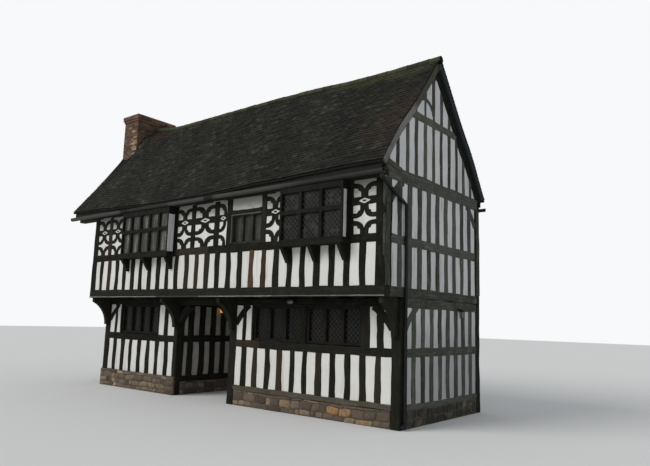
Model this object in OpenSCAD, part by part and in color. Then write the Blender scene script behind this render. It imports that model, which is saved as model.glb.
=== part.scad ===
// Half timbered house, two storeys, jettied to the front, with a cart passage through the ground storey.
// Close-studded oak frames with plaster panels stand on a stone plinth under a steep tiled roof.
// The upper front has curved-brace star panels and two shallow oriel windows.
// Lengths are millimetres. +X runs along the front, +Y into the house and +Z up from the ground.

/* [Plan] */
// Length of the front between the outer faces of the corner posts
front_len = 11000; // [9500:50:13500]
// Depth of the upper storey
upper_depth = 4500; // [3900:50:5600]
// Reach of the upper storey over the lower one, on the front
jetty = 640; // [350:10:900]
// Length of the ground storey left of the passage
left_len = 3690; // [3300:10:4500]
// Clear width of the passage
passage_w = 2140; // [1700:10:2500]
// Reach of the roof past the left gable, over the chimney breast
roof_left = 1100; // [900:10:1500]
// Reach of the tiles past the right gable
roof_right = 90; // [75:5:250]
// Reach of the tiles past the front and rear walls
eaves_out = 230; // [180:5:400]

/* [Heights] */
// Height of the stone plinth above the lowest ground
plinth_h = 360; // [250:10:600]
// Height of the sill timber on the plinth
sill_h = 140; // [100:5:200]
// Height of the lower panels of the ground storey
ground_low_h = 940; // [700:10:1100]
// Height of the upper panels of the ground storey
ground_top_h = 850; // [650:10:1100]
// Height of the plate that carries the jetty
ground_plate_h = 200; // [140:5:260]
// Height of the floor joists and the jetty beam
floor_beam_h = 220; // [160:5:280]
// Height of the lower panels of the upper storey
upper_low_h = 890; // [700:10:1100]
// Height of the ring quarters under the middle rail of a star panel
star_low_h = 565; // [500:5:700]
// Height of the ring quarters over the middle rail of a star panel
star_top_h = 400; // [300:10:450]
// Height of the wall plate and of the gable's tie beam
plate_h = 290; // [220:5:320]
// Slope of the roof in degrees
roof_pitch = 52.5; // [45:0.5:56]

/* [Timbers] */
// Width and depth of a corner post
corner_w = 240; // [200:5:300]
// Width of a close stud
stud_w = 190; // [140:5:210]
// Width of a post between two bays of the upper register
bay_post_w = 150; // [110:5:180]
// Height of a middle rail
rail_h = 200; // [140:5:240]
// Height of the rail through a star panel
star_rail_h = 185; // [120:5:220]
// Depth of the timbers through the wall
frame_t = 170; // [140:5:220]
// Thickness of the plaster panels
infill_t = 130; // [90:5:135]
// Depth of the plaster face behind the timber face
infill_set = 12; // [5:1:25]
// Width of a curved brace
brace_w = 130; // [90:5:170]
// Reach of a curved brace along its post and its beam
knee_reach = 600; // [350:10:700]
// Radius of a curved brace's lower edge
knee_r = 1500; // [900:50:3000]
// Depth of the jetty beam
jetty_beam_w = 200; // [180:5:240]
// Height of the pale fillet at the jetty beam's foot
fillet_h = 30; // [20:1:45]
// Reach of the fillet
fillet_out = 18; // [10:1:30]
// Thickness of a jetty bracket
bracket_t = 110; // [80:5:140]
// Height of a jetty bracket on its post
bracket_h = 820; // [650:10:950]
// Distance of a bracket's end behind the jetty beam's face
bracket_set = 60; // [30:5:120]
// Depth of a bracket at its end
bracket_toe = 130; // [90:5:180]
// Depth of a bracket at its foot
bracket_foot = 110; // [80:5:150]
// Width of a floor joist
joist_w = 160; // [110:5:200]
// Number of floor joists
joist_n = 15; // [12:1:16]
// Thickness of the floorboards
board_t = 30; // [20:1:40]
// Gap between the ribs of a star panel where they come closest
star_gap = 20; // [10:2:40]
// Reach of the plinth behind the timbers
plinth_in = 80; // [40:5:120]
// Depth of the floor flags under the plinth's top
flags_drop = 40; // [20:5:80]
// Reach of the stone facing that covers the left front's sill
facing_out = 55; // [30:5:90]
// Width of a star panel's curved ribs
rib_w = 95; // [60:5:110]
// Number of lower panels along the upper front
front_panels = 26; // [20:1:30]
// Number of panels across a gable
gable_panels = 10; // [8:1:12]
// Number of panels of the ground storey left of the passage
left_panels = 8; // [6:1:9]
// Number of panels of the ground storey right of the passage
right_panels = 12; // [10:1:14]
// Number of panels along a side of the passage
cheek_panels = 9; // [7:1:10]

/* [Passage] */
// Width of the left passage post
left_post_w = 180; // [180:5:300]
// Width of the right passage post
right_post_w = 240; // [200:5:300]
// Thickness of the passage side walls
cheek_t = 180; // [150:5:220]
// Distance of a passage door from the rear wall's outer face
door_from_rear = 620; // [500:10:900]
// Width of a passage door
door_w = 860; // [760:10:1000]
// Height of a passage door
door_h = 1900; // [1800:10:1950]
// Thickness of a passage door
door_t = 50; // [40:2:60]

/* [Windows] */
// Width of the broad star panel
broad_star_w = 790; // [600:10:850]
// Width of the half star panel
half_star_w = 330; // [280:10:380]
// Width of the post between the left star panels and the left oriel
oriel_post_w = 390; // [150:10:450]
// Width of the middle upper window
middle_window_w = 1070; // [900:10:1200]
// Height of the middle upper window
middle_window_h = 760; // [650:10:850]
// Width of the left oriel's opening
left_oriel_w = 2100; // [1800:10:2200]
// Width of the right oriel's opening
right_oriel_w = 1690; // [1500:10:1760]
// Reach of an oriel in front of the wall
oriel_out = 250; // [180:5:320]
// Distance of the left ground window from the corner post's brace
left_window_in = 30; // [5:5:120]
// Distance of the left ground window from the passage post's brace
left_window_out = 190; // [20:10:300]
// Clearance between the right ground window and the braces beside it
knee_clear = 10; // [5:1:60]
// Width of a window's bars between two lights
mullion_w = 80; // [60:5:100]
// Width of a window's outer frame
window_rim = 55; // [40:5:70]
// Thickness of a window's frame and bars through the wall
window_t = 64; // [50:2:80]
// Depth of a window's face behind the timber face
window_set = 40; // [20:2:60]
// Width of the timber beside a window
jamb_w = 70; // [50:5:100]
// Width of the timber at the right end of the right ground window
right_jamb_w = 230; // [150:10:260]
// Height of an oriel's lower lights
oriel_low_h = 570; // [500:10:700]
// Height of an oriel's transom
oriel_transom_h = 95; // [70:5:110]
// Height of an oriel's head timber
oriel_head_h = 130; // [90:10:200]
// Height of an oriel's sill
oriel_sill_h = 100; // [70:5:130]
// Reach of an oriel's sill past its frame
oriel_lip = 25; // [15:1:40]
// Thickness of an oriel's cheek
oriel_side_w = 60; // [45:5:75]
// Width of the stile where an oriel's cheek meets the wall
oriel_stile_w = 45; // [30:5:60]
// Thickness of a bracket under an oriel
oriel_bracket_w = 90; // [60:5:120]
// Height of a bracket under an oriel
oriel_bracket_h = 350; // [250:10:450]
// Depth of a bracket's ends under an oriel
oriel_bracket_toe = 40; // [30:2:60]
// Height of the head timber over the middle window
head_h = 110; // [80:5:140]
// Width of the post in the middle of the right ground window
window_post_w = 180; // [120:5:220]
// Thickness of a sheet of leaded glass
glass_t = 12; // [8:1:20]

/* [Roof] */
// Thickness of the rafters under the tiles
rafter_t = 100; // [80:5:160]
// Thickness of the battens and tiles
tile_t = 60; // [45:5:90]
// Width of a bargeboard
barge_w = 150; // [120:5:260]
// Thickness of a bargeboard
barge_t = 45; // [30:5:60]
// Depth of a rafter's seat on the wall plate
rafter_seat = 60; // [40:5:90]
// Width of a wall plate
plate_w = 200; // [160:5:220]
// Width of a purlin and of the ridge beam
purlin_w = 150; // [120:5:180]
// Height of a purlin and of the ridge beam
purlin_h = 200; // [150:5:240]
// Thickness of the pale board under the eaves
eaves_board_t = 30; // [20:2:40]
// Distance of the eaves boards behind the lowest tiles
eaves_board_set = 60; // [40:5:90]
// Depth of the bargeboard's face behind the last tiles
barge_set = 15; // [5:1:30]
// Thickness of the rafters that frame a gable
gable_rafter_t = 75; // [60:5:120]
// Width of a stud in the gable's triangle
gable_stud_w = 145; // [110:5:180]
// Number of panels across the foot of the gable's triangle
gable_top_panels = 11; // [9:2:13]
// Height of the collar's underside above the tie beam
collar_over = 1330; // [1200:10:1500]
// Height of the collar
collar_h = 150; // [110:5:180]
// Radius of the arched panel over the collar
arch_r = 360; // [300:10:380]
// Thickness of the arch
arch_t = 60; // [45:5:80]
// Clearance between a purlin and the side of the chimney stack
purlin_clear = 350; // [100:10:500]
// Depth of the ridge tiles' centre under the tiles' apex
ridge_drop = 70; // [60:5:80]
// Radius of the ridge tiles
ridge_r = 120; // [100:5:150]
// Radius of the half-round gutters
gutter_r = 55; // [45:5:70]
// Radius of the downpipe
pipe_r = 38; // [30:1:50]
// Distance of the downpipe behind the ground storey's front
pipe_in = 110; // [60:5:180]
// Gap between the downpipe and the wall
pipe_gap = 12; // [8:1:20]
// Height of a pipe clip
clip_h = 40; // [30:5:60]
// Height through which the downpipe crosses to the gable
pipe_fall = 430; // [350:10:550]
// Thickness of a gutter's wall
gutter_t = 5; // [3:1:8]
// Clearance between gutter and bargeboard
gutter_gap = 8; // [4:1:20]

/* [Chimney] */
// Width of the stack along the front
stack_w = 800; // [650:10:900]
// Depth of the stack
stack_d = 1500; // [1200:10:1800]
// Depth of the breast under the stack
breast_d = 1760; // [1600:10:2100]
// Reach of the stack past the left gable
stack_out = 1200; // [1150:10:1400]
// Height of the stack over the roof's apex
stack_over = 690; // [400:10:1100]
// Height of a projecting course at the stack's head
course_h = 75; // [60:5:90]
// Reach of a projecting course
course_out = 28; // [20:2:40]
// Height over which the breast narrows to the stack
shoulder_h = 700; // [500:10:900]
// Thickness of the brickwork round a flue
flue_wall = 115; // [100:5:150]
// Depth of the open flues
flue_depth = 250; // [150:10:400]

/* [Lamps] */
// Radius of a lamp's glass
lamp_r = 70; // [55:1:90]
// Height of a lamp's glass
lamp_h = 170; // [130:5:220]
// Distance of a lamp's middle from its wall
lamp_out = 110; // [95:1:140]
// Thickness of a lamp's arm
lamp_arm = 24; // [16:1:30]
// Distance of the lantern in the passage behind the mouth
lantern_in = 1510; // [1200:10:1900]
// Distance of the gable's lamp behind the ground storey's front
lamp_in = 2610; // [2300:10:2900]
// Distance of the oval lamp on the right front's plate from the right end
oval_in = 3030; // [2700:10:3300]
// Height of the oval lamp, half of its width
oval_h = 110; // [80:5:140]
// Reach of the oval lamp
oval_out = 80; // [50:5:100]

/* [Hidden] */

// Faces of revolution and arcs
$fn = 48;

// Heights of the storeys, from the ground up
sill_z = plinth_h;
ground_z = sill_z + sill_h;
ground_rail_z = ground_z + ground_low_h;
ground_top_z = ground_rail_z + rail_h;
ground_plate_z = ground_top_z + ground_top_h;
floor_z = ground_plate_z + ground_plate_h;
upper_z = floor_z + floor_beam_h;
upper_rail_z = upper_z + upper_low_h;
star_z = upper_rail_z + rail_h;
star_rail_z = star_z + star_low_h;
star_top_z = star_rail_z + star_rail_h;
plate_z = star_top_z + star_top_h;
flags_z = plinth_h - flags_drop;

// Plan lines of the ground storey
passage_x0 = left_len;
passage_x1 = left_len + passage_w;
left_cheek_x = passage_x0 - left_post_w;
right_cheek_x = passage_x1 + right_post_w - cheek_t;
right_post_x = passage_x1 + right_post_w;
cheek_y0 = jetty + frame_t;
cheek_y1 = upper_depth - frame_t;
right_end_x = front_len - corner_w;
rear_y = upper_depth - frame_t;
ridge_y = upper_depth / 2;

// Bays of the upper front between the middle rail and the wall plate, from the left corner post
fixed_bays_w = broad_star_w + half_star_w + middle_window_w + left_oriel_w + right_oriel_w;
fixed_posts_w = 8 * bay_post_w + oriel_post_w;
star_w = (front_len - 2 * corner_w - fixed_bays_w - fixed_posts_w) / 5;
BAYS = ["star", "star", "left_oriel", "star", "star", "half", "window", "star", "right_oriel", "star"];
bay_w = [star_w, star_w, left_oriel_w, star_w, broad_star_w, half_star_w, middle_window_w, star_w,
    right_oriel_w, star_w];
bay_gap = [bay_post_w, oriel_post_w, bay_post_w, bay_post_w, bay_post_w, bay_post_w, bay_post_w,
    bay_post_w, bay_post_w, corner_w];
function sum_to(v, n) = n == 0 ? 0 : v[n - 1] + sum_to(v, n - 1);
function bay_x(n) = corner_w + sum_to(bay_w, n) + sum_to(bay_gap, n);
left_oriel_x = bay_x(2);
middle_window_x = bay_x(6);
right_oriel_x = bay_x(8);
left_window_x = corner_w + knee_reach + left_window_in;
left_window_x1 = left_cheek_x - knee_reach - left_window_out;
right_window_x0 = right_post_x + knee_reach + knee_clear;
right_window_x1 = right_end_x - knee_reach - knee_clear + jamb_w - right_jamb_w;
right_window_mid = (right_window_x0 + right_window_x1) / 2;

// Roof surfaces. The rafters sit on the plates, and the tiles run on past the walls.
plate_top_z = plate_z + plate_h;
tile_v = tile_t / cos(roof_pitch);
roof_v = (rafter_t + tile_t) / cos(roof_pitch);
pitch_rise = tan(roof_pitch);
eaves_z = plate_top_z + roof_v - (eaves_out + rafter_seat) * pitch_rise;
apex_z = eaves_z + (ridge_y + eaves_out) * pitch_rise;
under_apex_z = apex_z - roof_v;
roof_x0 = -roof_left;
roof_x1 = front_len + roof_right;
rafter_x0 = roof_x0 + barge_set + barge_t;
rafter_x1 = roof_x1 - barge_set - barge_t;
tile_lap = tile_t / 3;
eaves_board_y = eaves_board_set - eaves_out;
collar_z = plate_top_z + collar_over;
collar_top_z = collar_z + collar_h;
gable_rafter_v = gable_rafter_t / cos(roof_pitch);
gable_pitch = (upper_depth - gable_stud_w) / gable_top_panels;
arch_stud_y = ridge_y - 3 * gable_pitch / 2;
arch_y = ridge_y - gable_pitch / 2 - gable_stud_w / 2 - arch_r;
stack_x0 = -stack_out;
stack_x1 = stack_x0 + stack_w;
stack_y0 = ridge_y - stack_d / 2;
stack_y1 = ridge_y + stack_d / 2;
purlin_y = stack_y0 - purlin_clear - purlin_w;

// Hanging lamps, their arms let into the plate
lamp_cap_r = lamp_r * 1.15;
lamp_cap_h = lamp_h * 0.35;
lamp_arm_z = ground_plate_z + lamp_arm;
lamp_z = lamp_arm_z + lamp_arm - lamp_h - lamp_cap_h;
lantern_y = jetty + lantern_in;
lamp_y = jetty + lamp_in;

// Downpipe
pipe_x = front_len + pipe_r + pipe_gap;
pipe_y = jetty + pipe_in;

// The house stands with the middle of its outline over the origin
outline_x0 = stack_x0 - 2 * course_out;
outline_x1 = max(roof_x1, front_len + lamp_out + lamp_cap_r, pipe_x + pipe_r);

function tile_top(y) = apex_z - abs(y - ridge_y) * pitch_rise;
function roof_under(y) = tile_top(y) - roof_v;

module place() {
    translate([-(outline_x0 + outline_x1) / 2, -ridge_y, 0]) children();
}

// Wall planes. A front wall is drawn in x and z, and an end wall in y and z.
module front_wall(y, t) {
    translate([0, y + t, 0]) rotate([90, 0, 0]) linear_extrude(t) children();
}

module end_wall(x, t) {
    translate([x, 0, 0]) rotate([90, 0, 90]) linear_extrude(t) children();
}

module rect(x0, z0, x1, z1) {
    translate([x0, z0]) square([x1 - x0, z1 - z0]);
}

module block(x0, y0, z0, x1, y1, z1) {
    translate([x0, y0, z0]) cube([x1 - x0, y1 - y0, z1 - z0]);
}

// Studs that divide the width from x0 to x1 into n equal panels
module studs(x0, x1, n, z0, z1) {
    pitch = (x1 - x0 + stud_w) / n;
    for (k = [1:n - 1]) rect(x0 + k * pitch - stud_w, z0, x0 + k * pitch, z1);
}

// Studs of a gable's triangle, evenly about the ridge
module gable_studs(z0, z1) {
    for (k = [1:gable_top_panels - 1])
        rect(k * gable_pitch, z0, k * gable_pitch + gable_stud_w, z1);
}

// A curved brace in the corner of post and beam at the point x, z. The sign sx says which way it runs.
// Its lower edge is an arc through both ends of the reach, with its centre on the corner's bisector.
knee_centre = (knee_reach + sqrt(2 * knee_r * knee_r - knee_reach * knee_reach)) / 2;

module arch_brace(x, z, sx) {
    translate([x, z]) mirror([sx < 0 ? 1 : 0, 0]) intersection() {
        translate([0, -knee_centre]) square(knee_centre);
        translate([knee_centre, -knee_centre]) difference() {
            circle(r = knee_r + brace_w, $fn = 4 * $fn);
            circle(r = knee_r, $fn = 4 * $fn);
        }
    }
}

// Stone plinths with their flagged floors, open where the posts stand on the ground
module plinth(x0, x1, post_x0, post_x1, corner_x) {
    wall = frame_t + plinth_in;
    difference() {
        block(x0, jetty, 0, x1, upper_depth, plinth_h);
        block(x0 + wall, jetty + wall, flags_z, x1 - wall, upper_depth - wall, plinth_h + 1);
        for (y = [jetty, rear_y])
            block(post_x0, y, -1, post_x1, y + frame_t, plinth_h + 1);
        for (y = [jetty, upper_depth - corner_w]) corner_post(corner_x, y, -1, plinth_h + 1);
    }
}

module left_plinth() {
    place() color("#8a7458") union() {
        plinth(0, left_cheek_x + cheek_t, left_cheek_x, passage_x0, 0);
        block(0, jetty - facing_out, 0, passage_x0, jetty, ground_z);
    }
}

module right_plinth() {
    place() color("#8a7458")
        plinth(right_cheek_x, front_len, passage_x1, right_post_x, right_end_x);
}

// Ground storey, front and rear. Each wall is a frame of timbers with plaster in its panels.
module ground_wall_2d(x0, x1) {
    rect(x0, sill_z, x1, floor_z);
}

module left_front_2d() {
    rect(0, sill_z, passage_x0, ground_z);
    rect(0, ground_plate_z, passage_x0, floor_z);
    rect(0, 0, corner_w, ground_plate_z);
    rect(left_cheek_x, 0, passage_x0, ground_plate_z);
    rect(corner_w, ground_rail_z, left_cheek_x, ground_top_z);
    studs(corner_w, left_cheek_x, left_panels, ground_z, ground_rail_z);
    studs(corner_w, left_window_x, 2, ground_top_z, ground_plate_z);
    studs(left_window_x1, left_cheek_x, 2, ground_top_z, ground_plate_z);
    rect(left_window_x - jamb_w, ground_top_z, left_window_x, ground_plate_z);
    rect(left_window_x1, ground_top_z, left_window_x1 + jamb_w, ground_plate_z);
    arch_brace(corner_w, ground_plate_z, 1);
    arch_brace(left_cheek_x, ground_plate_z, -1);
}

module right_front_2d() {
    rect(passage_x1, sill_z, front_len, ground_z);
    rect(passage_x1, ground_plate_z, front_len, floor_z);
    rect(passage_x1, 0, right_post_x, ground_plate_z);
    rect(right_end_x, 0, front_len, ground_plate_z);
    rect(right_post_x, ground_rail_z, right_end_x, ground_top_z);
    studs(right_post_x, right_end_x, right_panels, ground_z, ground_rail_z);
    studs(right_post_x, right_window_x0, 2, ground_top_z, ground_plate_z);
    studs(right_window_x1 + right_jamb_w, right_end_x, 2, ground_top_z, ground_plate_z);
    rect(right_window_x0 - jamb_w, ground_top_z, right_window_x0, ground_plate_z);
    rect(right_window_x1, ground_top_z, right_window_x1 + right_jamb_w, ground_plate_z);
    rect(right_window_mid - window_post_w / 2, ground_top_z, right_window_mid + window_post_w / 2,
        ground_plate_z);
    arch_brace(right_post_x, ground_plate_z, 1);
    arch_brace(right_end_x, ground_plate_z, -1);
}

module rear_2d(x0, x1, post_x0, post_x1, end_x0, end_x1, n) {
    rect(x0, sill_z, x1, ground_z);
    rect(x0, ground_plate_z, x1, floor_z);
    rect(post_x0, 0, post_x1, ground_plate_z);
    rect(end_x0, 0, end_x1, ground_plate_z);
    inner_x0 = min(post_x1, end_x1);
    inner_x1 = max(post_x0, end_x0);
    rect(inner_x0, ground_rail_z, inner_x1, ground_top_z);
    studs(inner_x0, inner_x1, n, ground_z, ground_rail_z);
    studs(inner_x0, inner_x1, n, ground_top_z, ground_plate_z);
}

module left_rear_2d() {
    rear_2d(0, passage_x0, left_cheek_x, passage_x0, 0, corner_w, left_panels);
}

module right_rear_2d() {
    rear_2d(passage_x1, front_len, passage_x1, right_post_x, right_end_x, front_len, right_panels);
}

// The part of a corner post that stands behind the plane of its wall's studs
module corner_post(x0, y0, z0, z1) {
    block(x0, y0, z0, x0 + corner_w, y0 + corner_w, z1);
}

module left_front_frame() {
    place() color("#3a332d") union() {
        front_wall(jetty, frame_t) left_front_2d();
        corner_post(0, jetty, 0, floor_z);
    }
}

module left_front_infill() {
    place() color("#e8e4da") front_wall(jetty + infill_set, infill_t) difference() {
        ground_wall_2d(0, passage_x0);
        left_front_2d();
        rect(left_window_x, ground_top_z, left_window_x1, ground_plate_z);
    }
}

module right_front_frame() {
    place() color("#3a332d") union() {
        front_wall(jetty, frame_t) right_front_2d();
        corner_post(right_end_x, jetty, 0, floor_z);
    }
}

module right_front_infill() {
    place() color("#e8e4da") front_wall(jetty + infill_set, infill_t) difference() {
        ground_wall_2d(passage_x1, front_len);
        right_front_2d();
        rect(right_window_x0, ground_top_z, right_window_x1, ground_plate_z);
    }
}

module left_rear_frame() {
    place() color("#3a332d") union() {
        front_wall(rear_y, frame_t) left_rear_2d();
        corner_post(0, upper_depth - corner_w, 0, floor_z);
    }
}

module left_rear_infill() {
    place() color("#e8e4da") front_wall(upper_depth - infill_set - infill_t, infill_t) difference() {
        ground_wall_2d(0, passage_x0);
        left_rear_2d();
    }
}

module right_rear_frame() {
    place() color("#3a332d") union() {
        front_wall(rear_y, frame_t) right_rear_2d();
        corner_post(right_end_x, upper_depth - corner_w, 0, floor_z);
    }
}

module right_rear_infill() {
    place() color("#e8e4da") front_wall(upper_depth - infill_set - infill_t, infill_t) difference() {
        ground_wall_2d(passage_x1, front_len);
        right_rear_2d();
    }
}

// Passage sides, close-studded like the front, each with a plank door towards the rear
door_y0 = cheek_y1 - door_from_rear - door_w + frame_t;
door_y1 = door_y0 + door_w;
door_z1 = sill_z + door_h;

module cheek_2d() {
    difference() {
        union() {
            rect(cheek_y0, sill_z, cheek_y1, ground_z);
            rect(cheek_y0, ground_plate_z, cheek_y1, floor_z);
            rect(cheek_y0, ground_rail_z, cheek_y1, ground_top_z);
            studs(cheek_y0, cheek_y1, cheek_panels, ground_z, ground_rail_z);
            studs(cheek_y0, cheek_y1, cheek_panels, ground_top_z, ground_plate_z);
            rect(door_y0 - jamb_w, sill_z, door_y1 + jamb_w, door_z1 + jamb_w);
        }
        rect(door_y0, sill_z - 1, door_y1, door_z1);
    }
}

module cheek_infill_2d() {
    difference() {
        rect(cheek_y0, sill_z, cheek_y1, floor_z);
        cheek_2d();
        rect(door_y0, sill_z - 1, door_y1, door_z1);
    }
}

module left_passage_frame() {
    place() color("#3a332d") end_wall(left_cheek_x, cheek_t) cheek_2d();
}

module left_passage_infill() {
    place() color("#e8e4da") end_wall(left_cheek_x + cheek_t - infill_set - infill_t, infill_t)
        cheek_infill_2d();
}

module right_passage_frame() {
    place() color("#3a332d") end_wall(right_cheek_x, cheek_t) cheek_2d();
}

module right_passage_infill() {
    place() color("#e8e4da") end_wall(right_cheek_x + infill_set, infill_t) cheek_infill_2d();
}

module left_door() {
    place() color("#4a3b2c")
        block(left_cheek_x + cheek_t - infill_set - door_t, door_y0, sill_z,
            left_cheek_x + cheek_t - infill_set, door_y1, door_z1);
}

module right_door() {
    place() color("#4a3b2c")
        block(right_cheek_x + infill_set, door_y0, sill_z, right_cheek_x + infill_set + door_t, door_y1,
            door_z1);
}

// Lintels over both mouths of the passage, with arched braces to the posts
module lintel_2d() {
    rect(passage_x0, ground_plate_z, passage_x1, floor_z);
    arch_brace(passage_x0, ground_plate_z, 1);
    arch_brace(passage_x1, ground_plate_z, -1);
}

module passage_lintels() {
    place() color("#3a332d") union() {
        front_wall(jetty, frame_t) lintel_2d();
        front_wall(rear_y, frame_t) lintel_2d();
    }
}

// Broad floorboards, cut out round the corner posts, on joists from the jetty beam to the rear beam
module upper_floor() {
    place() color("#4a4038") difference() {
        block(frame_t, frame_t, upper_z, front_len - frame_t, rear_y, upper_z + board_t);
        for (x = [0, right_end_x])
            for (y = [0, upper_depth - corner_w])
                corner_post(x, y, floor_z, upper_z + 2 * board_t);
    }
}

module floor_joists() {
    span = front_len - 2 * frame_t - joist_w;
    place() color("#4a4038")
        for (k = [0:joist_n - 1])
            translate([frame_t + k * span / (joist_n - 1), jetty_beam_w, floor_z])
                cube([joist_w, rear_y - jetty_beam_w, floor_beam_h]);
}

module jetty_beam() {
    place() color("#3a332d") union() {
        block(0, 0, floor_z, front_len, jetty_beam_w, upper_z);
        block(0, -fillet_out, floor_z, front_len, 0, floor_z + fillet_h);
    }
}

// Brackets from the ground storey's four posts out to the jetty beam, each hollowed to a curve
bracket_run = jetty - bracket_foot - bracket_set;
bracket_rise = bracket_h - bracket_toe;
bracket_r = (bracket_run * bracket_run + bracket_rise * bracket_rise) / (2 * bracket_run);

module bracket_2d() {
    difference() {
        rect(bracket_set, floor_z - bracket_h, jetty, floor_z);
        translate([jetty - bracket_foot - bracket_r, floor_z - bracket_h]) circle(r = bracket_r);
    }
}

module jetty_brackets() {
    place() color("#3a332d")
        for (x = [corner_w / 2, (left_cheek_x + passage_x0) / 2, (passage_x1 + right_post_x) / 2,
            front_len - corner_w / 2])
            end_wall(x - bracket_t / 2, bracket_t) bracket_2d();
}

// Upper storey. Each star panel's rail has a plaster lozenge with an eye in it, both given as parts of
// the panel's width and of the rail's height.
LOZENGE_IN = [0.55, 0.72];
LOZENGE_EYE = [0.21, 0.2];

module lozenge(x, z, w, h) {
    polygon([[x - w / 2, z], [x, z - h / 2], [x + w / 2, z], [x, z + h / 2]]);
}

module ring_quarter(x, z, r, sx, sz) {
    translate([x, z]) mirror([sx < 0 ? 1 : 0, 0]) mirror([0, sz < 0 ? 1 : 0]) intersection() {
        square(r);
        difference() {
            circle(r = r);
            circle(r = r - rib_w);
        }
    }
}

// Ring quarters curve round each crossing of post and rail, and leave a star of plaster between them
module star_ribs(x0, x1, sides) {
    w = x1 - x0;
    mid_x = (x0 + x1) / 2;
    mid_z = star_rail_z + star_rail_h / 2;
    r = (min(sides == 2 ? w : 2 * w, star_low_h) - star_gap) / 2;
    for (s = [0:sides - 1]) {
        x = s == 0 ? x0 : x1;
        sx = s == 0 ? 1 : -1;
        ring_quarter(x, star_z, r, sx, 1);
        ring_quarter(x, star_rail_z, r, sx, -1);
        ring_quarter(x, star_top_z, min(r, star_top_h - star_gap), sx, 1);
    }
    difference() {
        rect(x0, star_rail_z, x1, star_top_z);
        lozenge(mid_x, mid_z, w * LOZENGE_IN[0], star_rail_h * LOZENGE_IN[1]);
    }
    lozenge(mid_x, mid_z, w * LOZENGE_EYE[0], star_rail_h * LOZENGE_EYE[1]);
}

module bay_2d(n) {
    x0 = bay_x(n);
    x1 = x0 + bay_w[n];
    rect(x1, star_z, x1 + bay_gap[n], plate_z);
    if (BAYS[n] == "star") star_ribs(x0, x1, 2);
    if (BAYS[n] == "half") star_ribs(x0, x1, 1);
    if (BAYS[n] == "window")
        rect(x0, star_z + middle_window_h, x1, star_z + middle_window_h + head_h);
}

module upper_front_2d() {
    rect(0, upper_z, corner_w, plate_z);
    rect(right_end_x, upper_z, front_len, plate_z);
    rect(corner_w, upper_rail_z, right_end_x, star_z);
    studs(corner_w, right_end_x, front_panels, upper_z, upper_rail_z);
}

module star_frames_2d() {
    intersection() {
        for (n = [0:len(BAYS) - 1]) bay_2d(n);
        rect(corner_w, star_z, right_end_x, plate_z);
    }
}

module upper_front_frame() {
    place() color("#3a332d") union() {
        front_wall(0, frame_t) upper_front_2d();
        corner_post(0, 0, upper_z, plate_z);
        corner_post(right_end_x, 0, upper_z, plate_z);
    }
}

// The posts, ribs and rails over the middle rail
module star_frames() {
    place() color("#3a332d") front_wall(0, frame_t) star_frames_2d();
}

module upper_front_infill() {
    place() color("#e8e4da") front_wall(infill_set, infill_t) difference() {
        rect(0, upper_z, front_len, plate_z);
        upper_front_2d();
        star_frames_2d();
        rect(left_oriel_x, star_z, left_oriel_x + left_oriel_w, plate_z);
        rect(right_oriel_x, star_z, right_oriel_x + right_oriel_w, plate_z);
        rect(middle_window_x, star_z, middle_window_x + middle_window_w, star_z + middle_window_h);
    }
}

// The rear wall is plain close studding with two windows like the middle one of the front
rear_window_x = [front_len * 0.25 - middle_window_w / 2, front_len * 0.7 - middle_window_w / 2];

module upper_rear_2d() {
    rect(0, floor_z, front_len, upper_z);
    rect(0, upper_z, corner_w, plate_z);
    rect(right_end_x, upper_z, front_len, plate_z);
    rect(corner_w, upper_rail_z, right_end_x, star_z);
    studs(corner_w, right_end_x, front_panels, upper_z, upper_rail_z);
    difference() {
        union() {
            studs(corner_w, right_end_x, front_panels, star_z, plate_z);
            for (x = rear_window_x) {
                rect(x - jamb_w, star_z, x, plate_z);
                rect(x + middle_window_w, star_z, x + middle_window_w + jamb_w, plate_z);
                rect(x, star_z + middle_window_h, x + middle_window_w, star_z + middle_window_h + head_h);
            }
        }
        for (x = rear_window_x) rect(x, star_z, x + middle_window_w, star_z + middle_window_h);
    }
}

module upper_rear_frame() {
    place() color("#3a332d") union() {
        front_wall(rear_y, frame_t) upper_rear_2d();
        corner_post(0, upper_depth - corner_w, upper_z, plate_z);
        corner_post(right_end_x, upper_depth - corner_w, upper_z, plate_z);
    }
}

module upper_rear_infill() {
    place() color("#e8e4da") front_wall(upper_depth - infill_set - infill_t, infill_t) difference() {
        rect(0, floor_z, front_len, plate_z);
        upper_rear_2d();
        for (x = rear_window_x) rect(x, star_z, x + middle_window_w, star_z + middle_window_h);
    }
}

// Gables, from the plinth to the rafters
module roof_triangle(drop) {
    base = rafter_seat + drop / pitch_rise;
    polygon([[base, plate_top_z], [upper_depth - base, plate_top_z], [ridge_y, under_apex_z - drop]]);
}

// A purlin under the front slope (s = 1) or the rear one (s = -1)
module purlin_2d(y, s) {
    y1 = y + s * purlin_w;
    low = min(roof_under(y), roof_under(y1)) - purlin_h;
    polygon([[y, low], [y1, low], [y1, roof_under(y1)], [y, roof_under(y)]]);
}

module ridge_beam_2d() {
    polygon([[ridge_y - purlin_w / 2, under_apex_z - purlin_h - purlin_w / 2 * pitch_rise],
        [ridge_y + purlin_w / 2, under_apex_z - purlin_h - purlin_w / 2 * pitch_rise],
        [ridge_y + purlin_w / 2, roof_under(ridge_y + purlin_w / 2)], [ridge_y, under_apex_z],
        [ridge_y - purlin_w / 2, roof_under(ridge_y - purlin_w / 2)]]);
}

module roof_beams_2d() {
    purlin_2d(purlin_y, 1);
    purlin_2d(upper_depth - purlin_y, -1);
    ridge_beam_2d();
}

module gable_outline_2d() {
    rect(jetty + corner_w, sill_z, upper_depth - corner_w, floor_z);
    rect(jetty_beam_w, floor_z, rear_y, upper_z);
    rect(corner_w, upper_z, upper_depth - corner_w, plate_z);
    rect(plate_w, plate_z, upper_depth - plate_w, plate_top_z);
    roof_triangle(gable_rafter_v / 2);
}

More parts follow.
